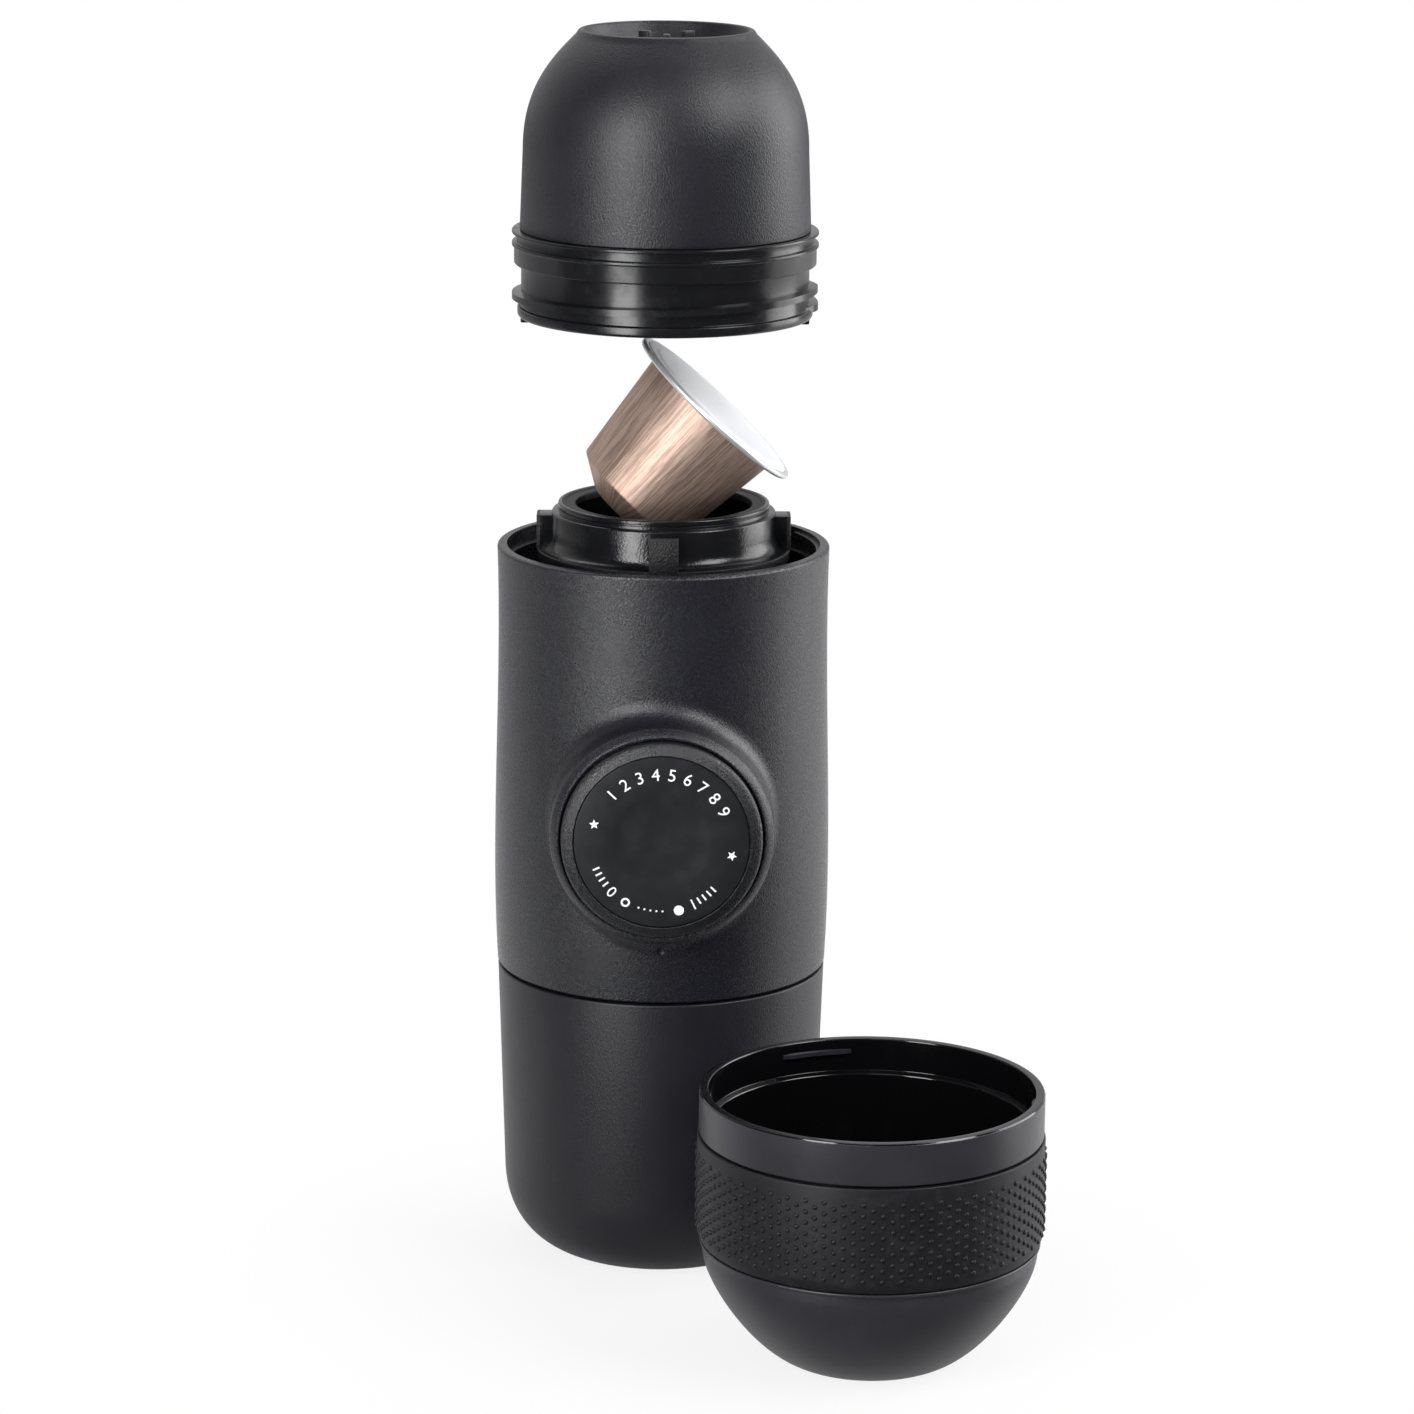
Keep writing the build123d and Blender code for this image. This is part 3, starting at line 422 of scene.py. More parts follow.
@dataclass(frozen=True)
class BrushedFoil(Finish):
    """The capsule's coloured aluminium, brushed along its sides, with a bare flange."""

    pivot: tuple[float, float, float]
    tilt_deg: float
    colour: Colour = (0.68, 0.50, 0.41)
    shade: Colour = (0.25, 0.165, 0.13)
    bare: Colour = (0.80, 0.81, 0.82)
    bare_from: float = 2.6
    wrap_mm: float = 14.0
    line_length: float = 0.045

    def lay(self, bench: Bench) -> None:
        """Lays the brushed lines, in the capsule's own upright frame about its axis.

        Args:
            bench: The material under construction.
        """
        x, y, z = bench.axes(bench.place(self.pivot, (0, -self.tilt_deg, 0)))
        angle = bench.maths("ARCTAN2", y, x + self.pivot[0])
        sides = bench.node("ShaderNodeCombineXYZ", sockets={
            0: bench.maths("COSINE", angle) * self.wrap_mm, 1: bench.maths("SINE", angle) * self.wrap_mm,
            2: z * self.line_length})
        lines = bench.noise(sides, 0.46, 3.0, 0.7)
        bands = bench.noise(sides, 2.2)
        bare = bench.between(z, self.bare_from - 0.05, self.bare_from + 0.05)
        brushed = bench.blend(0.6 * bench.between(lines, 0.38, 0.6) + 0.4 * bands, self.shade, self.colour)
        bench.set(Metallic=0.75, Base_Color=bench.blend(bare, brushed, self.bare),
                  Roughness=(0.46 + 0.2 * (lines - 0.5)) * (1.0 - bare) + 0.34 * bare,
                  Normal=bench.bump(lines * (1.0 - bare), 0.04))


@dataclass(frozen=True)
class LidFoil(Finish):
    """The pale foil of the capsule's lid, lightly quilted by the sealing tool."""

    colour: Colour = (0.86, 0.87, 0.90)
    roughness: float = 0.42

    def lay(self, bench: Bench) -> None:
        """Lays dents over the fibres of the foil's backing.

        Args:
            bench: The material under construction.
        """
        here = bench.place()
        dents = bench.noise(here, 2.6)
        fibres = bench.noise(here, 0.35, 3.0, 0.6)
        bench.set(Metallic=0.12, Base_Color=bench.blend(dents, self.colour, tinted(self.colour, 0.93)),
                  Roughness=self.roughness + 0.1 * (fibres - 0.5),
                  Normal=bench.bump(dents, 0.05, 0.7, bench.bump(fibres, 0.01)))


@dataclass(frozen=True)
class PrintInk(Finish):
    """White ink screened on the dial, very slightly uneven."""

    colour: Colour = (0.82, 0.82, 0.82)
    roughness: float = 0.45

    def lay(self, bench: Bench) -> None:
        """Lays the ink, thinner in patches.

        Args:
            bench: The material under construction.
        """
        cover = bench.noise(bench.place(), 0.5, 3.0, 0.6)
        uneven = bench.blend(bench.between(cover, 0.5, 0.8), self.colour, tinted(self.colour, 0.86))
        bench.set(Base_Color=uneven, Roughness=self.roughness + 0.1 * (cover - 0.5))


class Finishes:
    """Every finish of the maker, each made once and found by its key."""

    def __init__(self) -> None:
        """Makes the materials."""
        recipes = {
            "body_matt": GrainedPlastic("body_grain"),
            "tank_matt": GrainedPlastic("tank_grain", (0.0087, 0.0088, 0.0128), roughness=0.37,
                                        grain_mm=0.28, grain_depth=0.02, specular=0.47),
            "dome_matt": GrainedPlastic("dome_grain", (0.0095, 0.0096, 0.0140), roughness=0.34,
                                        grain_mm=0.30, grain_depth=0.03, specular=0.55),
            "cup_matt": GrainedPlastic("cup_satin", (0.0186, 0.0187, 0.0245), roughness=0.36,
                                       grain_mm=0.25, grain_depth=0.008),
            "bezel_matt": GrainedPlastic("bezel_satin", (0.0072, 0.0075, 0.0092), roughness=0.26,
                                         grain_mm=0.34, grain_depth=0.06),
            "gloss_black": GlossPlastic("polished_black"),
            "skirt_black": GlossPlastic("skirt_black", (0.0048, 0.0050, 0.0064), 0.20, 0.005),
            "holder_black": GlossPlastic("holder_black", (0.0040, 0.0042, 0.0052), 0.15, 0.045,
                                         matt_beyond_mm=23.2),
            "satin_black": GlossPlastic("satin_black", (0.0085, 0.0085, 0.0095), 0.36),
            "dial_black": GlossPlastic("dial_film", (0.0072, 0.0076, 0.0094), 0.38),
            "black_rubber": SoftRubber("black_rubber"),
            "grey_silicone": SoftRubber("grey_silicone", (0.30, 0.31, 0.32), 0.5),
            "clear_tube": SoftRubber("clear_tube", (0.62, 0.63, 0.62), 0.3, see_through=0.6),
            "white_acetal": Acetal("white_acetal"),
            "steel": BrushedMetal("stainless"),
            "copper_foil": BrushedFoil("copper_foil", Capsule.pivot, Capsule.tilt_deg),
            "lid_foil": LidFoil("lid_foil"),
            "print_ink": PrintInk("print_ink"),
        }
        self.materials = {key: recipe.material() for key, recipe in recipes.items()}

    def __getitem__(self, key: str) -> bpy.types.Material:
        """The material of a key."""
        return self.materials[key]


# Mesh work


def new_object(name: str, data: bpy.types.ID) -> bpy.types.Object:
    """Puts a new object in the scene.

    Args:
        name: The object's name.
        data: Its mesh, text, lamp or camera.

    Returns:
        The object.
    """
    made = bpy.data.objects.new(name, data)
    bpy.context.scene.collection.objects.link(made)
    return made


class Corner(NamedTuple):
    """A corner of a turned outline, in millimetres. Outlines are written as plain tuples of it.

    Attributes:
        radius: Distance from the axis.
        height: Distance along the axis.
        rounding: Setback of the corner's rounding.
        polish: 1 where the mould is polished, 0 where it is grained.
    """

    radius: float
    height: float
    rounding: float = 0.0
    polish: float = 0.0


Outline = Sequence[tuple[float, ...]]


def curve(start: Point, leave: Point, arrive: Point, end: Point, count: int = 18,
          polish: float = 0.0) -> Outline:
    """A smooth run of an outline from one point to another.

    Args:
        start: Where the run starts, as (radius, height).
        leave: The handle that it leaves by.
        arrive: The handle that it arrives by.
        end: Where it ends.
        count: Points on the run.
        polish: The mould's finish along it.

    Returns:
        The run's corners, both ends among them.
    """
    knots = [Vector(point) for point in (start, leave, arrive, end)]
    return [(point.x, point.y, 0.0, polish) for point in interpolate_bezier(*knots, count)]


def edges_of(verts: Sequence[bmesh.types.BMVert]) -> list[bmesh.types.BMEdge]:
    """The edges that meet some vertices, each once and in a fixed order."""
    return list(dict.fromkeys(edge for vert in verts for edge in vert.link_edges))


class Workpiece:
    """A mesh in the making, in millimetres about +Z, shaped with bmesh operators.

    Attributes:
        rib_sink: How far the rib of a thread reaches into its wall.
        crest_share: The rib's width at its top, as a share of that at its root.
    """

    rib_sink = 0.25
    crest_share = 0.7

    def __init__(self, steps: int = 160) -> None:
        """Starts an empty mesh.

        Args:
            steps: Facets in a full turn.
        """
        self.steps = steps
        self.mesh = bmesh.new()
        self.polish = self.mesh.verts.layers.float.new("polish")

    def turn(self, outline: Outline) -> Workpiece:
        """Spins an outline through a full turn. It is the first thing done to a mesh.

        Args:
            outline: Corners of a closed outline, or of one that starts and ends on the axis.

        Returns:
            This workpiece.
        """
        corners = [Corner(*point) for point in outline]
        verts = []
        for corner in corners:
            vert = self.mesh.verts.new((corner.radius, 0.0, corner.height))
            vert[self.polish] = corner.polish
            verts.append(vert)
        for pair in zip(verts, verts[1:]):
            self.mesh.edges.new(pair)
        if corners[0].radius > 0.0:
            self.mesh.edges.new((verts[-1], verts[0]))
        for setback in sorted({corner.rounding for corner in corners if corner.rounding}):
            soft = [vert for vert, corner in zip(verts, corners) if corner.rounding == setback]
            bmesh.ops.bevel(self.mesh, geom=soft, offset=setback, offset_type="OFFSET", segments=4,
                            profile=0.5, affect="VERTICES", material=-1)
        bmesh.ops.spin(self.mesh, geom=[*self.mesh.verts, *self.mesh.edges], cent=(0, 0, 0), axis=(0, 0, 1),
                       dvec=(0, 0, 0), angle=FULL_TURN, steps=self.steps, use_merge=True,
                       use_duplicate=False)
        bmesh.ops.remove_doubles(self.mesh, verts=self.mesh.verts, dist=1e-4)
        return self

    def thread(self, root: float, crest: float, thickness: float, pitch: float, turns: float,
               start_height: float, start_deg: float = 0.0, run_out_deg: float = 14.0) -> None:
        """Adds one helical rib that fades into its wall at both ends.

        Args:
            root: Radius of the wall that carries the rib.
            crest: Radius of the rib's top, smaller than root for an inside thread.
            thickness: The rib's width at its root.
            pitch: Rise in one turn.
            turns: Number of turns.
            start_height: Height of the rib's middle at its lower end.
            start_deg: Where the lower end lies.
            run_out_deg: The arc over which each end fades.
        """
        sunk = root - math.copysign(self.rib_sink, crest - root)
        half = thickness / 2
        top = half * self.crest_share
        section = [(sunk, -half), (crest, -top), (crest, top), (sunk, half)]
        verts = [self.mesh.verts.new((radius, 0.0, start_height + rise)) for radius, rise in section]
        edges = [self.mesh.edges.new(pair) for pair in zip(verts, verts[1:] + verts[:1])]
        begin = math.radians(start_deg)
        bmesh.ops.rotate(self.mesh, cent=(0, 0, 0), matrix=Matrix.Rotation(begin, 3, "Z"), verts=verts)
        known = set(self.mesh.verts) - set(verts)
        count = round(self.steps * turns)
        bmesh.ops.spin(self.mesh, geom=verts + edges, cent=(0, 0, 0), axis=(0, 0, 1),
                       dvec=(0, 0, pitch * turns / count), angle=FULL_TURN * turns, steps=count,
                       use_merge=False, use_duplicate=False)
        slack = 1e-3
        rib = [vert for vert in self.mesh.verts if vert not in known]
        for vert in rib:
            spot = (math.atan2(vert.co.y, vert.co.x) - begin + slack) % FULL_TURN - slack
            lap = round((vert.co.z - start_height) / pitch - spot / FULL_TURN) if turns > 1.0 else 0
            along = math.degrees(spot) + 360.0 * lap
            near_end = min(along, 360.0 * turns - along)
            share = min(1.0, max(0.0, near_end / run_out_deg))
            reach = math.hypot(vert.co.x, vert.co.y)
            vert.co.xy *= (sunk + (reach - sunk) * math.sin(share * math.pi / 2)) / reach
        open_edges = [edge for edge in self.mesh.edges if edge.is_boundary and edge.verts[0] not in known]
        bmesh.ops.edgeloop_fill(self.mesh, edges=open_edges)

    def blocks(self, count: int, size: tuple[float, float, float], radius: float, height: float,
               softness: float, start_deg: float = 0.0) -> None:
        """Adds boxes with rounded edges, evenly round the axis.

        Args:
            count: How many boxes.
            size: The radial depth, width and height of each.
            radius: From the axis to the middle of each.
            height: The height of the middle of each.
            softness: The setback of the rounded edges.
            start_deg: Where the first one stands.
        """
        for number in range(count):
            turn = math.radians(start_deg) + FULL_TURN * number / count
            spot = Matrix.Rotation(turn, 4, "Z") @ Matrix.Translation((radius, 0.0, height))
            made = bmesh.ops.create_cube(self.mesh, size=1.0, matrix=spot @ Matrix.Diagonal((*size, 1.0)))
            bmesh.ops.bevel(self.mesh, geom=edges_of(made["verts"]), offset=softness, offset_type="OFFSET",
                            segments=3, profile=0.5, affect="EDGES", material=-1)

    def finish(self, name: str, material: bpy.types.Material, place: Matrix,
               heal: bool) -> bpy.types.Object:
        """Moves the mesh to its place and makes an object of it.

        Args:
            name: The piece's name.
            material: Its finish.
            place: Where the piece goes, in millimetres.
            heal: Whether the normals are made to point outwards.

        Returns:
            The object, at the origin, with its place in its mesh.
        """
        if heal:
            bmesh.ops.recalc_face_normals(self.mesh, faces=self.mesh.faces)
        metres = Matrix.Diagonal((MM, MM, MM, 1.0))
        bmesh.ops.transform(self.mesh, matrix=metres @ place, verts=self.mesh.verts)
        data = bpy.data.meshes.new(name)
        self.mesh.to_mesh(data)
        self.mesh.free()
        data.shade_smooth()
        data.set_sharp_from_angle(angle=math.radians(CREASE_DEG))
        data.materials.append(material)
        return new_object(name, data)


@dataclass
class Assembly:
    """What every sub-assembly shares.

    Attributes:
        frame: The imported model.
        finishes: Every finish.
        rides_on: The CAD body that its new pieces ride on.
        around: The axis that they are turned about.
    """

    frame: dict[str, Any]
    finishes: Finishes
    rides_on: str = "main_body"
    around: Around = Around.MAKER

    @property
    def place(self) -> Matrix:
        """The move of new pieces to their place, in millimetres."""
        return self.around.matrix

    def fit(self, work: Workpiece, name: str, finish: str, slot: str, *nodes: str,
            heal: bool = True) -> None:
        """Finishes a new piece and puts it on its body.

        Args:
            work: The piece's mesh.
            name: The piece's name.
            finish: The key of its finish.
            slot: The record's material slot; it is not used.
            nodes: The CAD nodes that it stands for.
            heal: Whether the normals are made to point outwards.
        """
        piece = work.finish(name, self.finishes[finish], self.place, heal)
        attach(piece, self.rides_on)
        if nodes:
            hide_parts(*nodes)
        log.info("%s: %d faces on %s", name, len(piece.data.polygons), self.rides_on)

    def dress(self, finish: str, *nodes: str) -> None:
        """Gives CAD nodes that stay their finish.

        Args:
            finish: The key of the finish.
            nodes: The nodes' names.
        """
        for node in nodes:
            for slot in self.frame["nodes"][node].material_slots:
                slot.material = self.finishes[finish]
            log.info("%s keeps its CAD shape, in %s", node, finish)


@dataclass
class Tank(Assembly):
    """The bowl-shaped water tank with its threaded neck."""

    rides_on: str = "tank"
    top_radius: float = 31.05
    low_radius: float = 29.8
    foot_radius: float = 17.9
    corner_height: float = 16.0
    foot_handle: float = 3.7
    outer_handle: float = 3.9
    inner_handle: float = 6.1
    height: float = 56.0
    wall: float = 2.0
    floor: float = 2.2
    neck_radius: float = 27.3
    neck_bore: float = 25.3
    neck_top: float = 64.4
    neck_root: float = 5.0

    @property
    def outline(self) -> Outline:
        """The tank's section, from the middle of its foot round to the middle of its floor."""
        inner_low = self.low_radius - self.wall
        inner_foot = self.foot_radius - self.wall / 2
        outside = curve((self.foot_radius, 0.0), (self.foot_radius + self.foot_handle, 0.0),
                        (self.low_radius, self.outer_handle), (self.low_radius, self.corner_height), 26)
        inside = curve((inner_low, self.corner_height), (inner_low, self.inner_handle),
                       (inner_foot + self.foot_handle, self.floor), (inner_foot, self.floor),
                       polish=POLISHED)
        return [
            (0.0, 0.0), *outside, (self.top_radius, self.height, 0.35), (self.neck_radius, self.height),
            (self.neck_radius, self.neck_top, 0.4, POLISHED), (self.neck_bore, self.neck_top, 0.3, POLISHED),
            (self.neck_bore, self.height, 0.0, POLISHED),
            (self.top_radius - self.wall, self.height - self.neck_root, 0.0, POLISHED), *inside,
            (0.0, self.floor, 0.0, POLISHED)]

    def build(self) -> None:
        """Builds the tank and dresses its seal."""
        bowl = Workpiece(FINE_STEPS).turn(self.outline)
        bowl.thread(self.neck_radius, self.neck_radius + 1.0, thickness=1.4, pitch=3.2, turns=1.0,
                    start_height=self.height + 2.0)
        self.fit(bowl, "tank_bowl", "tank_matt", "tank_matt", "water_tank")
        self.dress("grey_silicone", "tank_seal")


@dataclass
class Body(Assembly):
    """The main body and everything inside it, with the sloped lip of its boss."""

    around: Around = Around.KNOB
    boss_radius: float = 20.4
    boss_face: float = 37.5
    lip_bore: float = 18.72
    lip_stand: float = 1.0
    lip_root: float = 1.2

    @property
    def lip_outline(self) -> Outline:
        """The lip's section along the knob's axis, a slope from the boss's edge up to a thin rim."""
        outer = self.boss_radius - 0.1
        low = self.boss_face - self.lip_root
        top = self.boss_face + self.lip_stand
        slope = curve((outer, self.boss_face - 0.38), (outer - 0.3, self.boss_face + 0.1),
                      (self.lip_bore + 0.75, top - 0.25), (self.lip_bore + 0.3, top), 10)
        return [(self.lip_bore, low), (outer, low), *slope, (self.lip_bore, top - 0.02, 0.1)]

    def build(self) -> None:
        """Builds the boss's lip and dresses the body's nodes."""
        self.fit(Workpiece(FINE_STEPS).turn(self.lip_outline), "boss_lip", "body_matt", "body_matt")
        self.dress("body_matt", "body_shell")
        self.dress("satin_black", "pump_chassis", "intake_strainer", "piston_rod")
        self.dress("white_acetal", "pump_cylinder")
        self.dress("grey_silicone", "inlet_valve", "outlet_valve", "piston_seal")
        self.dress("clear_tube", "intake_tube")
        self.dress("steel", "delivery_pipe", "spike_plate", "holder_screws", "piston_spring", "knob_screw")


@dataclass
class Holder(Assembly):
    """The ribbed drum that takes the capsule, with its seal ring."""

    deck: float = 111.5
    foot_radius: float = 27.0
    foot_height: float = 2.6
    floor: float = 117.0
    drain: float = 1.4
    face: float = 145.0
    bore: float = 16.5
    seal_radius: float = 18.9
    seal_height: float = 1.6
    lip_radius: float = 19.7
    lip_height: float = 1.65
    groove_depth: float = 0.35
    drum_radius: float = 21.0
    rib_radius: float = 23.7
    flange_low: float = 134.1
    flange_high: float = 136.3
    rib_top: float = 142.6
    rib_width: float = 5.4
    rib_count: int = 4

    @property
    def outline(self) -> Outline:
        """The drum's section, its wall flared into the flange."""
        flare = curve(
            (self.rib_radius - 0.5, self.flange_high), (self.drum_radius + 0.7, self.flange_high + 0.3),
            (self.drum_radius + 0.1, self.flange_high + 1.1), (self.drum_radius, self.flange_high + 3.0), 8)
        foot_top = self.deck + self.foot_height
        stem = self.drum_radius + 0.6
        lip_low = self.face - self.lip_height
        groove = self.face - 1.1
        groove_radius = self.lip_radius - self.groove_depth
        seat = self.seal_radius + 0.05
        seat_low = self.face - self.seal_height
        return [
            (self.drain, self.deck), (self.foot_radius, self.deck), (self.foot_radius, foot_top, 0.4),
            (stem, foot_top), (stem, self.flange_low - 1.5), (self.rib_radius - 0.3, self.flange_low, 0.2),
            (self.rib_radius, self.flange_high, 0.12), *flare, (self.drum_radius - 0.1, lip_low, 0.5),
            (self.lip_radius, lip_low, 0.08), (self.lip_radius, groove, 0.06), (groove_radius, groove),
            (groove_radius, groove + 0.3), (self.lip_radius, groove + 0.3, 0.06),
            (self.lip_radius, self.face, 0.35), (seat, self.face, 0.1), (seat, seat_low),
            (self.bore, seat_low), (self.bore, self.floor, 0.3), (self.drain, self.floor)]

    @property
    def seal_outline(self) -> Outline:
        """The seal's section, with a rim that stands up round its outside."""
        low = self.face - self.seal_height
        return [
            (self.bore, low), (self.seal_radius, low), (self.seal_radius, self.face, 0.08),
            (self.seal_radius - 0.3, self.face, 0.08), (self.seal_radius - 0.6, self.face - 0.3, 0.1),
            (self.bore, self.face - 0.3, 0.25)]

    def build(self) -> None:
        """Builds the drum with its ribs, and the seal."""
        drum = Workpiece(FINE_STEPS).turn(self.outline)
        depth = self.rib_radius - self.drum_radius + 0.6
        height = self.rib_top - self.flange_high + 0.3
        drum.blocks(self.rib_count, (depth, self.rib_width, height), self.rib_radius - depth / 2,
                    self.rib_top - height / 2, softness=0.2)
        self.fit(drum, "holder_drum", "holder_black", "gloss_black", "capsule_holder")
        seal = Workpiece().turn(self.seal_outline)
        self.fit(seal, "seal_ring", "black_rubber", "black_rubber", "holder_seal")


@dataclass
class Capsule(Assembly):
    """The aluminium capsule, tipped as it is put in."""

    rides_on: str = "capsule"
    face: float = 145.0
    top_radius: float = 14.7
    flange_radius: float = 18.5
    flange_height: float = 0.8
    bead_radius: float = 0.55
    shoulder_radius: float = 11.9
    shoulder: float = 123.0
    nose_radius: float = 6.0
    nose: float = 119.2
    wall: float = 0.5
    pivot: tuple[float, float, float] = (26.5, 0.0, 142.0)
    tilt_deg: float = 43.0

    @property
    def place(self) -> Matrix:
        """The turn from the seated capsule to the tipped one."""
        spot = Matrix.Translation(self.pivot)
        return spot @ Matrix.Rotation(math.radians(self.tilt_deg), 4, "Y") @ spot.inverted()

    @property
    def lid_radius(self) -> float:
        """The edge of the lid, just inside the flange's bead."""
        return self.flange_radius - 2 * self.bead_radius - 0.1

    @property
    def outline(self) -> Outline:
        """The shell's section, with a bead rolled round the flange."""
        top = self.face + self.flange_height
        middle = self.face + self.flange_height / 2
        tip = self.flange_radius
        bead = self.bead_radius
        return [
            (0.0, self.nose + 0.7), (3.0, self.nose + 0.45, 1.0), (4.2, self.nose, 0.4),
            (self.nose_radius, self.nose, 0.5), (self.shoulder_radius, self.shoulder, 0.35),
            (self.top_radius - 0.1, self.face - 0.7), (self.top_radius, self.face, 0.25),
            (self.lid_radius, self.face, 0.1), (tip - 2 * bead, middle - bead, bead * 0.7),
            (tip, middle - bead, bead), (tip, middle + bead, bead),
            (tip - 2 * bead, middle + bead, bead * 0.7), (self.lid_radius, top, 0.05),
            (self.top_radius - self.wall, top, 0.2), (self.shoulder_radius - self.wall, self.shoulder, 0.3),
            (self.nose_radius, self.nose + 0.5, 0.3), (4.0, self.nose + 0.5), (3.0, self.nose + 1.0),
            (0.0, self.nose + 1.2)]

    @property
    def lid_outline(self) -> Outline:
        """The lid's section, embossed with a ring over the shell's mouth."""
        low = self.face + self.flange_height
        return [
            (0.0, low), (self.lid_radius, low), (self.lid_radius, low + 0.2, 0.1),
            (self.top_radius + 0.6, low + 0.2, 0.3), (self.top_radius + 0.2, low + 0.34, 0.2),
            (self.top_radius - 0.8, low + 0.34, 0.3), (self.top_radius - 2.0, low + 0.26, 0.5),
            (0.0, low + 0.4)]

    def build(self) -> None:
        """Builds the shell and the lid."""
        shell = Workpiece().turn(self.outline)
        self.fit(shell, "capsule_cup", "copper_foil", "copper_foil", "capsule_shell")
        lid = Workpiece().turn(self.lid_outline)
        self.fit(lid, "foil_lid", "lid_foil", "lid_foil", "capsule_lid")


class Mark(Enum):
    """The generic marks printed on the dial."""

    TICK = "tick"
    DOT = "dot"
    RING = "ring"
    STAR = "star"
    NUMBER = "number"


@dataclass(frozen=True)
class MarkRow:
    """A row of like marks, laid clockwise from an angle to the dial's top.

    Numbers count up from first.
    """

    kind: Mark
    start_deg: float
    radius: float
    size: float
    count: int = 1
    step_deg: float = 0.0
    first: int = 0


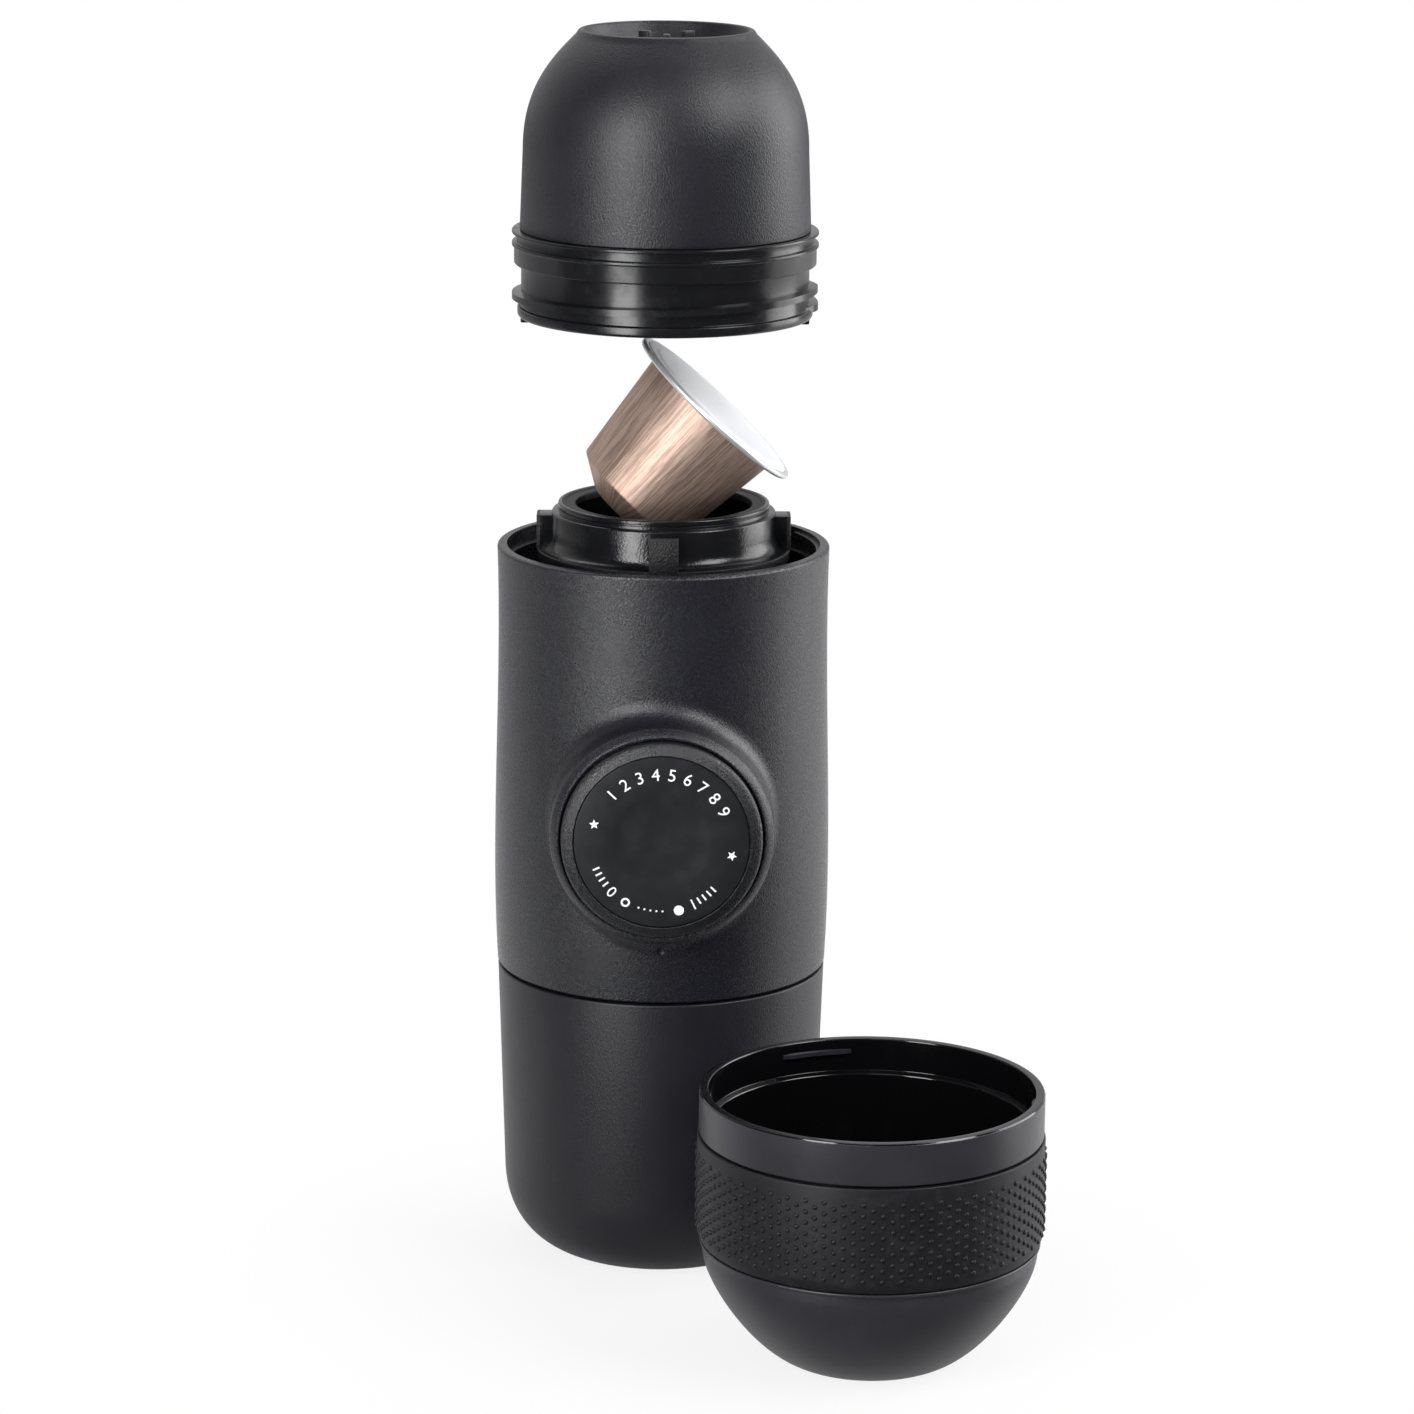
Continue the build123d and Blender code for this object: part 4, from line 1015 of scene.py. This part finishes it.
@dataclass
class Knob(Assembly):
    """The round pump knob: bezel cap, dial with its marks, and the sleeve behind it."""

    rides_on: str = "knob"
    around: Around = Around.KNOB
    radius: float = 18.6
    front_radius: float = 18.38
    back: float = 35.0
    rim_end: float = 37.4
    web: float = 38.04
    front: float = 41.0
    slope: float = 1.0
    sleeve_bore: float = 15.6
    screw_hole: float = 5.4
    dial_radius: float = 16.0
    dial_back: float = 39.84
    dial_front: float = 40.64
    dish_radius: float = 9.2
    dish_depth: float = 0.3
    ink: float = 0.03
    tick_width: float = 0.32
    ring_share: float = 0.42
    star_share: float = 0.45
    rows: tuple[MarkRow, ...] = (
        MarkRow(Mark.NUMBER, -46.0, 12.5, 3.2, 9, 13.6, first=1),
        MarkRow(Mark.STAR, -75.0, 12.7, 0.95),
        MarkRow(Mark.STAR, 101.0, 13.0, 0.95),
        MarkRow(Mark.DOT, 179.0, 13.0, 0.19, 5, 4.9),
        MarkRow(Mark.TICK, 133.0, 12.9, 1.3, 4, 5.0),
        MarkRow(Mark.TICK, 232.0, 12.9, 1.3, 4, 5.0),
        MarkRow(Mark.DOT, 166.0, 13.2, 0.92),
        MarkRow(Mark.RING, 210.0, 13.1, 0.85),
        MarkRow(Mark.NUMBER, 153.5, 12.9, 2.9, first=1),
        MarkRow(Mark.NUMBER, 224.0, 12.9, 2.9, first=0),
    )

    @property
    def cap_outline(self) -> Outline:
        """The cap's section along the knob's axis, sloped at its front edge."""
        bore = self.dial_radius + 0.1
        edge = self.front - self.slope
        slope = curve((self.front_radius, edge - 0.8), (self.front_radius, edge),
                      (self.front_radius - 0.35, edge + 0.2), (bore + 0.5, self.front - 0.22), 12)
        return [
            (self.screw_hole, self.web), (self.sleeve_bore, self.web), (self.sleeve_bore, self.back),
            (self.radius, self.back), (self.radius, self.rim_end, 0.1), (self.front_radius, self.rim_end),
            *slope, (bore + 0.1, self.front, 0.1), (bore, self.front - 0.1, 0.05), (bore, self.dial_back),
            (self.screw_hole, self.dial_back)]

    @property
    def dial_outline(self) -> Outline:
        """The dial's section, with its shallow dish for the thumb."""
        low = self.dial_front - self.dish_depth
        dish = curve((self.dish_radius, self.dial_front), (self.dish_radius * 0.7, low),
                     (self.dish_radius * 0.33, low), (0.0, low), 14)
        return [(0.0, self.dial_back), (self.dial_radius, self.dial_back),
                (self.dial_radius, self.dial_front, 0.15), *dish]

    def build(self) -> None:
        """Builds the cap and the dial, prints the marks and dresses the sleeve."""
        cap = Workpiece(FINE_STEPS).turn(self.cap_outline)
        self.fit(cap, "bezel_cap", "bezel_matt", "satin_black", "knob_cap")
        self.fit(Workpiece().turn(self.dial_outline), "thumb_dial", "dial_black", "dial_black", "dial_disc")
        self.fit(self.print_marks(), "dial_marks", "print_ink", "white_acetal", heal=False)
        self.dress("gloss_black", "knob_sleeve")

    def print_marks(self) -> Workpiece:
        """Prints every row as one piece, a hair proud of the dial.

        Returns:
            The printed marks.
        """
        work = Workpiece()
        for row in self.rows:
            for index in range(row.count):
                turn = Matrix.Rotation(-math.radians(row.start_deg + row.step_deg * index), 4, "Z")
                facing = turn @ Matrix.Translation((0.0, row.radius, self.dial_front))
                if row.kind is Mark.NUMBER:
                    self._print_number(work.mesh, str(row.first + index), row.size, facing)
                else:
                    self._print_shape(work.mesh, row.kind, row.size, facing)
        return work

    def _print_shape(self, mesh: bmesh.types.BMesh, kind: Mark, size: float, facing: Matrix) -> None:
        """Prints a tick, a dot, a ring or a star.

        Args:
            mesh: The mesh of the marks.
            kind: Which shape. A star is a ten-sided disc with every other corner drawn in.
            size: Its length, or its radius.
            facing: The move from the dial's middle to its place.
        """
        if kind is Mark.TICK:
            verts = bmesh.ops.create_grid(mesh, x_segments=1, y_segments=1, size=0.5)["verts"]
            bmesh.ops.scale(mesh, vec=(self.tick_width, size, 1.0), verts=verts)
        else:
            sides = 10 if kind is Mark.STAR else 32
            verts = bmesh.ops.create_circle(mesh, cap_ends=True, radius=size, segments=sides)["verts"]
        if kind is Mark.STAR:
            bmesh.ops.scale(mesh, vec=(self.star_share, self.star_share, 1.0), verts=verts[1::2])
        bmesh.ops.transform(mesh, matrix=facing, verts=verts)
        faces = list(verts[0].link_faces)
        if kind is Mark.RING:
            disc = faces
            faces = bmesh.ops.inset_region(mesh, faces=disc, thickness=size * self.ring_share,
                                           use_boundary=True)["faces"]
            bmesh.ops.delete(mesh, geom=disc, context="FACES_ONLY")
        made = bmesh.ops.extrude_face_region(mesh, geom=faces)["geom"]
        raised = [item for item in made if isinstance(item, bmesh.types.BMVert)]
        bmesh.ops.translate(mesh, vec=(0, 0, self.ink), verts=raised)

    def _print_number(self, mesh: bmesh.types.BMesh, text: str, size: float, facing: Matrix) -> None:
        """Prints a plain digit.

        Args:
            mesh: The mesh of the marks.
            text: The digit.
            size: Its height.
            facing: The move from the dial's middle to its place.
        """
        font = bpy.data.curves.new("digit", "FONT")
        font.body = text
        font.size = size
        font.align_x = "CENTER"
        font.align_y = "CENTER"
        font.extrude = self.ink / 2
        letter = new_object("digit", font)
        bpy.context.view_layer.update()
        data = bpy.data.meshes.new_from_object(letter.evaluated_get(bpy.context.evaluated_depsgraph_get()))
        data.transform(facing @ Matrix.Translation((0, 0, self.ink / 2)))
        mesh.from_mesh(data)
        bpy.data.objects.remove(letter)
        bpy.data.curves.remove(font)
        bpy.data.meshes.remove(data)


@dataclass
class Head(Assembly):
    """The outlet head: threaded skirt, domed cover, spout and pressure plate."""

    rides_on: str = "head"
    bottom: float = 180.0
    base: float = 196.0
    top: float = 232.7
    bore: float = 24.5
    root: float = 26.6
    lip: float = 27.3
    lip_height: float = 1.9
    band: float = 27.9
    ridge: float = 28.3
    seat: float = 25.6
    seat_depth: float = 1.5
    dome_foot: float = 26.85
    dome_radius: float = 26.3
    dome_bore: float = 24.95
    cavity_radius: float = 24.4
    shoulder_height: float = 14.6
    well_radius: float = 16.0
    well_wall: float = 14.6
    well_corner: float = 11.5
    well_floor: float = 225.7
    roof: float = 223.8
    spout_hole: float = 4.8
    stem: float = 4.75
    stem_bore: float = 1.8
    collar: float = 6.4

    @property
    def skirt_outline(self) -> Outline:
        """The skirt's section, with its bottom lip, band, ridge and top flange."""
        lip_top = self.bottom + self.lip_height
        band_low = self.base - 6.2
        ridge_high = self.base - 2.25
        ridge_low = ridge_high - 0.7
        upper = self.band - 0.5
        flange_low = self.base - 0.6
        seat_low = self.base - self.seat_depth
        return [
            (self.bore, self.bottom, 0.2), (self.lip, self.bottom, 0.55), (self.lip, lip_top, 0.3),
            (self.root, lip_top, 0.2), (self.root, band_low, 0.2), (self.band, band_low, 0.25),
            (self.band, ridge_low, 0.12), (self.ridge, ridge_low, 0.2), (self.ridge, ridge_high, 0.2),
            (upper, ridge_high, 0.15), (upper, flange_low, 0.15), (self.ridge, flange_low, 0.15),
            (self.ridge, self.base, 0.25), (self.seat, self.base), (self.seat, seat_low),
            (self.bore, seat_low)]

    @property
    def dome_outline(self) -> Outline:
        """The cover's section, with its lip turned down into the outlet well."""
        foot = self.base + 0.05
        shoulder = self.base + self.shoulder_height
        side = curve((self.dome_radius, shoulder), (self.dome_radius, shoulder + 11.8),
                     (20.6, self.top - 5.0), (self.well_radius, self.top - 0.4), 26)
        cavity = curve((13.4, self.roof), (18.7, self.roof), (self.cavity_radius, shoulder + 9.9),
                       (self.cavity_radius, shoulder), polish=POLISHED)
        rim = self.top - 0.05
        return [
            (self.dome_bore, foot), (self.dome_foot, foot, 0.2), *side[:-1], (self.well_radius, rim, 0.4),
            (self.well_radius - 0.8, rim, 0.3), (self.well_wall, self.top - 1.4, 0.6),
            (self.well_corner, self.well_floor, 0.8, 0.4), (self.spout_hole, self.well_floor, 0.0, 0.8),
            (self.spout_hole, self.roof, 0.0, POLISHED), *cavity]

    def skirt(self) -> Workpiece:
        """The skirt with its thread, and the two lugs at its foot.

        Returns:
            The skirt in the making.
        """
        work = Workpiece(FINE_STEPS).turn(self.skirt_outline)
        work.thread(self.root, self.ridge, thickness=1.7, pitch=3.6, turns=1.06,
                    start_height=self.bottom + 1.85, start_deg=-15.0)
        work.blocks(2, (1.6, 2.2, 3.1), self.root - 0.7, self.bottom + 0.05, softness=0.25)
        return work

    def spout(self) -> Workpiece:
        """The outlet piece in the well: a stem on a collar, with three raised arms.

        Returns:
            The spout in the making.
        """
        low = self.top - 6.95
        foot = low - 1.9
        tip = low + 3.4
        work = Workpiece(96).turn([
            (self.stem_bore, foot), (self.stem, foot), (self.stem, low), (self.collar, low, 0.2),
            (self.collar, low + 2.35, 0.5), (self.stem, low + 2.5, 0.15), (self.stem, tip, 0.3),
            (self.stem_bore, tip, 0.3)])
        work.blocks(3, (2.3, 1.3, 6.0), self.stem - 0.2, tip, softness=0.3, start_deg=30.0)
        return work

    def build(self) -> None:
        """Builds the skirt, the cover and the spout, and dresses the rest."""
        self.fit(self.skirt(), "threaded_skirt", "skirt_black", "gloss_black", "head_skirt")
        dome = Workpiece(FINE_STEPS).turn(self.dome_outline)
        self.fit(dome, "domed_cover", "dome_matt", "dome_matt", "head_dome")
        self.fit(self.spout(), "spout_tip", "satin_black", "gloss_black", "spout_nozzle")
        self.dress("satin_black", "head_crown")
        self.dress("steel", "pressure_plate")
        self.dress("grey_silicone", "plate_gasket")


@dataclass
class Cup(Assembly):
    """The drinking cup and its studded rubber sleeve."""

    rides_on: str = "cup"
    around: Around = Around.CUP
    height: float = 50.3
    radius: float = 31.0
    mouth: float = 29.3
    bowl: float = 30.3
    bowl_height: float = 20.5
    band_low: float = 42.6
    sleeve_low: float = 22.5
    sleeve_depth: float = 1.3
    bead: float = 0.5
    ledge: float = 44.2
    wall: float = 2.1
    floor: float = 2.4
    foot: float = 12.9
    proud: float = 0.25
    gap: float = 0.45
    lug_count: int = 3
    lug_start_deg: float = 94.3
    lug_span_deg: float = 28.1
    stud_low: float = 25.1
    stud_high: float = 39.2
    stud_radius: float = 0.48
    stud_height: float = 0.36
    stud_columns: int = 57
    stud_rows: int = 15

    @property
    def outline(self) -> Outline:
        """The cup's section, matt outside and polished inside."""
        groove = self.radius - self.sleeve_depth
        bead = self.bowl + self.bead
        inner = self.bowl - self.wall
        inner_foot = self.foot - self.wall / 2
        low = self.bowl_height - 5.7
        bowl = curve((self.foot, 0.0), (self.foot + 6.9, 0.0), (self.bowl, low),
                     (self.bowl, self.bowl_height), 26)
        inside = curve((inner, self.bowl_height), (inner, low), (inner_foot + 7.6, self.floor),
                       (inner_foot, self.floor), 22, POLISHED)
        return [
            (0.0, 0.0), *bowl, (self.bowl, self.sleeve_low - 0.75), (bead, self.sleeve_low - 0.6, 0.2),
            (bead, self.sleeve_low, 0.2), (groove, self.sleeve_low), (groove, self.band_low),
            (self.radius, self.band_low, 0.2), (self.radius, self.height - 0.35),
            (self.radius - 0.08, self.height - 0.25, 0.0, POLISHED),
            (self.radius - 0.2, self.height, 0.1, POLISHED), (self.mouth, self.height, 0.3, POLISHED),
            (self.mouth, self.ledge, 0.1, POLISHED), (inner, self.ledge - 0.4, 0.25, POLISHED), *inside,
            (0.0, self.floor, 0.0, POLISHED)]

    @property
    def sleeve_outline(self) -> Outline:
        """The sleeve's section, a little proud of the cup."""
        inner = self.radius - self.sleeve_depth
        outer = self.radius + self.proud
        low = self.sleeve_low + 0.2
        high = self.band_low - self.gap
        return [(inner, low), (outer - 0.55, low, 0.25), (outer, low + 1.6, 0.5), (outer, high, 0.3),
                (inner, high)]

    def build(self) -> None:
        """Builds the cup with the lugs inside its mouth, and its sleeve with the studs."""
        cup = Workpiece(FINE_STEPS).turn(self.outline)
        for number in range(self.lug_count):
            cup.thread(self.mouth, self.mouth - 0.7, thickness=1.0, pitch=0.0,
                       turns=self.lug_span_deg / 360.0, start_height=self.height - 2.4,
                       start_deg=self.lug_start_deg + 360.0 * number / self.lug_count, run_out_deg=5.0)
        self.fit(cup, "drinking_cup", "cup_matt", "gloss_black", "cup_shell")
        sleeve = Workpiece(FINE_STEPS).turn(self.sleeve_outline)
        self._studs(sleeve.mesh)
        self.fit(sleeve, "studded_sleeve", "black_rubber", "black_rubber", "cup_sleeve")

    def _studs(self, mesh: bmesh.types.BMesh) -> None:
        """Adds the sleeve's lattice of small round studs, every other row half a step on.

        Args:
            mesh: The sleeve's mesh.
        """
        shape = Matrix.Diagonal((self.stud_height, self.stud_radius, self.stud_radius, 1.0))
        verts = []
        for row in range(self.stud_rows):
            height = self.stud_low + (self.stud_high - self.stud_low) * row / (self.stud_rows - 1)
            turn = Matrix.Rotation(math.pi * (row % 2) / self.stud_columns, 4, "Z")
            spot = turn @ Matrix.Translation((self.radius + self.proud, 0.0, height))
            verts += bmesh.ops.create_uvsphere(mesh, u_segments=8, v_segments=6, radius=1.0,
                                               matrix=spot @ shape)["verts"]
        faces = list(dict.fromkeys(face for vert in verts for face in vert.link_faces))
        step = FULL_TURN / self.stud_columns
        bmesh.ops.spin(mesh, geom=verts + edges_of(verts) + faces, cent=(0, 0, 0), axis=(0, 0, 1),
                       dvec=(0, 0, 0), angle=FULL_TURN - step, steps=self.stud_columns - 1,
                       use_merge=False, use_duplicate=True)


# The studio


@dataclass(frozen=True)
class SoftBox:
    """A soft lamp aimed at the maker, in metres and watts.

    Azimuth 0 is the camera's side, and positive is to the right.
    """

    name: str
    azimuth_deg: float
    elevation_deg: float
    distance: float
    width: float
    height: float
    power: float
    aim: tuple[float, float, float] = (0.0, 0.0, 0.12)

    def hang(self) -> None:
        """Hangs the lamp, out of the camera's sight."""
        turn = math.radians(self.azimuth_deg)
        rise = math.radians(self.elevation_deg)
        away = Vector((math.sin(turn) * math.cos(rise), -math.cos(turn) * math.cos(rise), math.sin(rise)))
        data = bpy.data.lights.new(self.name, "AREA")
        data.shape = "RECTANGLE"
        data.size = self.width
        data.size_y = self.height
        data.energy = self.power
        lamp = new_object(self.name, data)
        lamp.location = Vector(self.aim) + away * self.distance
        lamp.rotation_euler = away.to_track_quat("Z", "Y").to_euler()
        lamp.visible_camera = False


@dataclass
class Studio:
    """The floor, the lamps, the white surroundings and the camera."""

    camera_height: float = 0.3218585
    camera_distance: float = 0.88377
    pitch: float = 0.24023
    yaw: float = 0.00949
    roll: float = 0.00848
    focal_px: float = 4822.66
    frame_px: float = 1414.0
    sensor_mm: float = 36.0
    fill: float = 0.25
    dark_side: float = 0.08
    white_side: float = 0.6
    floor_size: float = 6.0
    floor_colour: Colour = (0.80, 0.80, 0.80)
    shadow_middle: tuple[float, float, float] = (12.0, -25.0, 0.0)
    shadow_radius: float = 38.0
    shadow_end: float = 110.0
    least_white: float = 0.84
    clear_to: float = -90.0
    solid_from: float = 60.0
    dim_to: float = -0.1
    bright_from: float = 0.7
    lamps: tuple[SoftBox, ...] = (
        SoftBox("left_strip", -31.5, 13.0, 0.50, 0.17, 0.50, 2.4),
        SoftBox("upper_left", -10.0, 52.0, 1.0, 0.30, 0.30, 0.5),
        SoftBox("right_wall", 108.0, 8.0, 1.1, 0.7, 1.2, 11.0),
        SoftBox("upper_right", 58.0, 40.0, 1.0, 0.42, 0.55, 5.4),
        SoftBox("back_sheet", 180.0, 62.0, 1.2, 1.2, 0.8, 5.0),
    )

    def build(self) -> None:
        """Sets up the whole studio."""
        self.camera()
        self.floor()
        self.surroundings()
        for lamp in self.lamps:
            lamp.hang()
        bpy.context.scene.view_settings.view_transform = "Standard"

    def camera(self) -> None:
        """Sets up the camera at the photograph's viewing angle."""
        level = math.cos(self.pitch)
        forward = Vector((math.sin(self.yaw) * level, math.cos(self.yaw) * level, -math.sin(self.pitch)))
        side = forward.cross(Vector((0, 0, 1))).normalized()
        up = side.cross(forward)
        lean_side = side * math.cos(self.roll) + up * math.sin(self.roll)
        lean_up = up * math.cos(self.roll) - side * math.sin(self.roll)
        data = bpy.data.cameras.new("camera")
        data.sensor_width = self.sensor_mm
        data.lens = self.sensor_mm * self.focal_px / self.frame_px
        data.clip_start = 0.01
        camera = new_object("camera", data)
        turn = Matrix((lean_side, lean_up, -forward)).transposed().to_4x4()
        camera.matrix_world = Matrix.Translation((0.0, -self.camera_distance, self.camera_height)) @ turn
        bpy.context.scene.camera = camera

    def floor(self) -> None:
        """Lays a plain pale floor that keeps the maker's shadow and reads white elsewhere."""
        mesh = bmesh.new()
        bmesh.ops.create_grid(mesh, x_segments=1, y_segments=1, size=self.floor_size)
        data = bpy.data.meshes.new("floor")
        mesh.to_mesh(data)
        mesh.free()
        data.materials.append(self.floor_card())
        floor = new_object("floor", data)

    def floor_card(self) -> bpy.types.Material:
        """Makes the floor's card, shaded near the maker, white further off, clear to reflections in front.

        Returns:
            The material.
        """
        bench = Bench("floor_card")
        bench.set(Base_Color=self.floor_colour, Roughness=1.0, Specular_IOR_Level=0.0)
        seen = bench.ray("Camera")
        shine = bench.ray("Glossy")
        x, y, _ = bench.axes(bench.place(self.shadow_middle))
        away = bench.between(bench.off_axis(x, y), self.shadow_radius, self.shadow_end, self.least_white)
        cut = shine * bench.between(y, self.clear_to, self.solid_from, 1.0, 0.0)
        white = bench.node("ShaderNodeEmission", sockets={"Color": (1.0, 1.0, 1.0), "Strength": 1.0})
        clear = bench.node("ShaderNodeBsdfTransparent")
        card = bench.node("ShaderNodeMixShader", sockets={0: cut, 1: bench.shader, 2: clear})
        surface = bench.node("ShaderNodeMixShader", sockets={0: seen * away, 1: card, 2: white})
        bench.feed(bench.output.inputs["Surface"], surface)
        return bench.material

    def surroundings(self) -> None:
        """Makes a world that is white to the camera and behind, and dim on the camera's side."""
        world = bpy.data.worlds.new("surroundings")
        world.use_nodes = True
        bpy.context.scene.world = world
        graph = Graph(world.node_tree)
        seen = graph.ray("Camera")
        through = graph.ray("Transmission")
        shine = graph.ray("Glossy")
        _, depth, _ = graph.axes(graph.node("ShaderNodeTexCoord", output="Generated"))
        mirrored = graph.between(depth, self.dim_to, self.bright_from, self.dark_side, self.white_side)
        level = self.fill * (1.0 - shine) + mirrored * shine
        strength = graph.maths("MAXIMUM", level, graph.maths("MAXIMUM", seen, through))
        sky = graph.node("ShaderNodeBackground", sockets={"Color": (1.0, 1.0, 1.0), "Strength": strength})
        output = graph.tree.nodes.new("ShaderNodeOutputWorld")
        graph.feed(output.inputs["Surface"], sky)


def main() -> None:
    """Builds the studio and every sub-assembly."""
    logging.basicConfig(level=logging.INFO, format="%(name)s: %(message)s")
    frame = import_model()
    Studio().build()
    finishes = Finishes()
    for kind in (Tank, Body, Holder, Capsule, Knob, Head, Cup):
        log.info("building the %s", kind.__name__.lower())
        kind(frame, finishes).build()


if __name__ == "__main__":
    main()
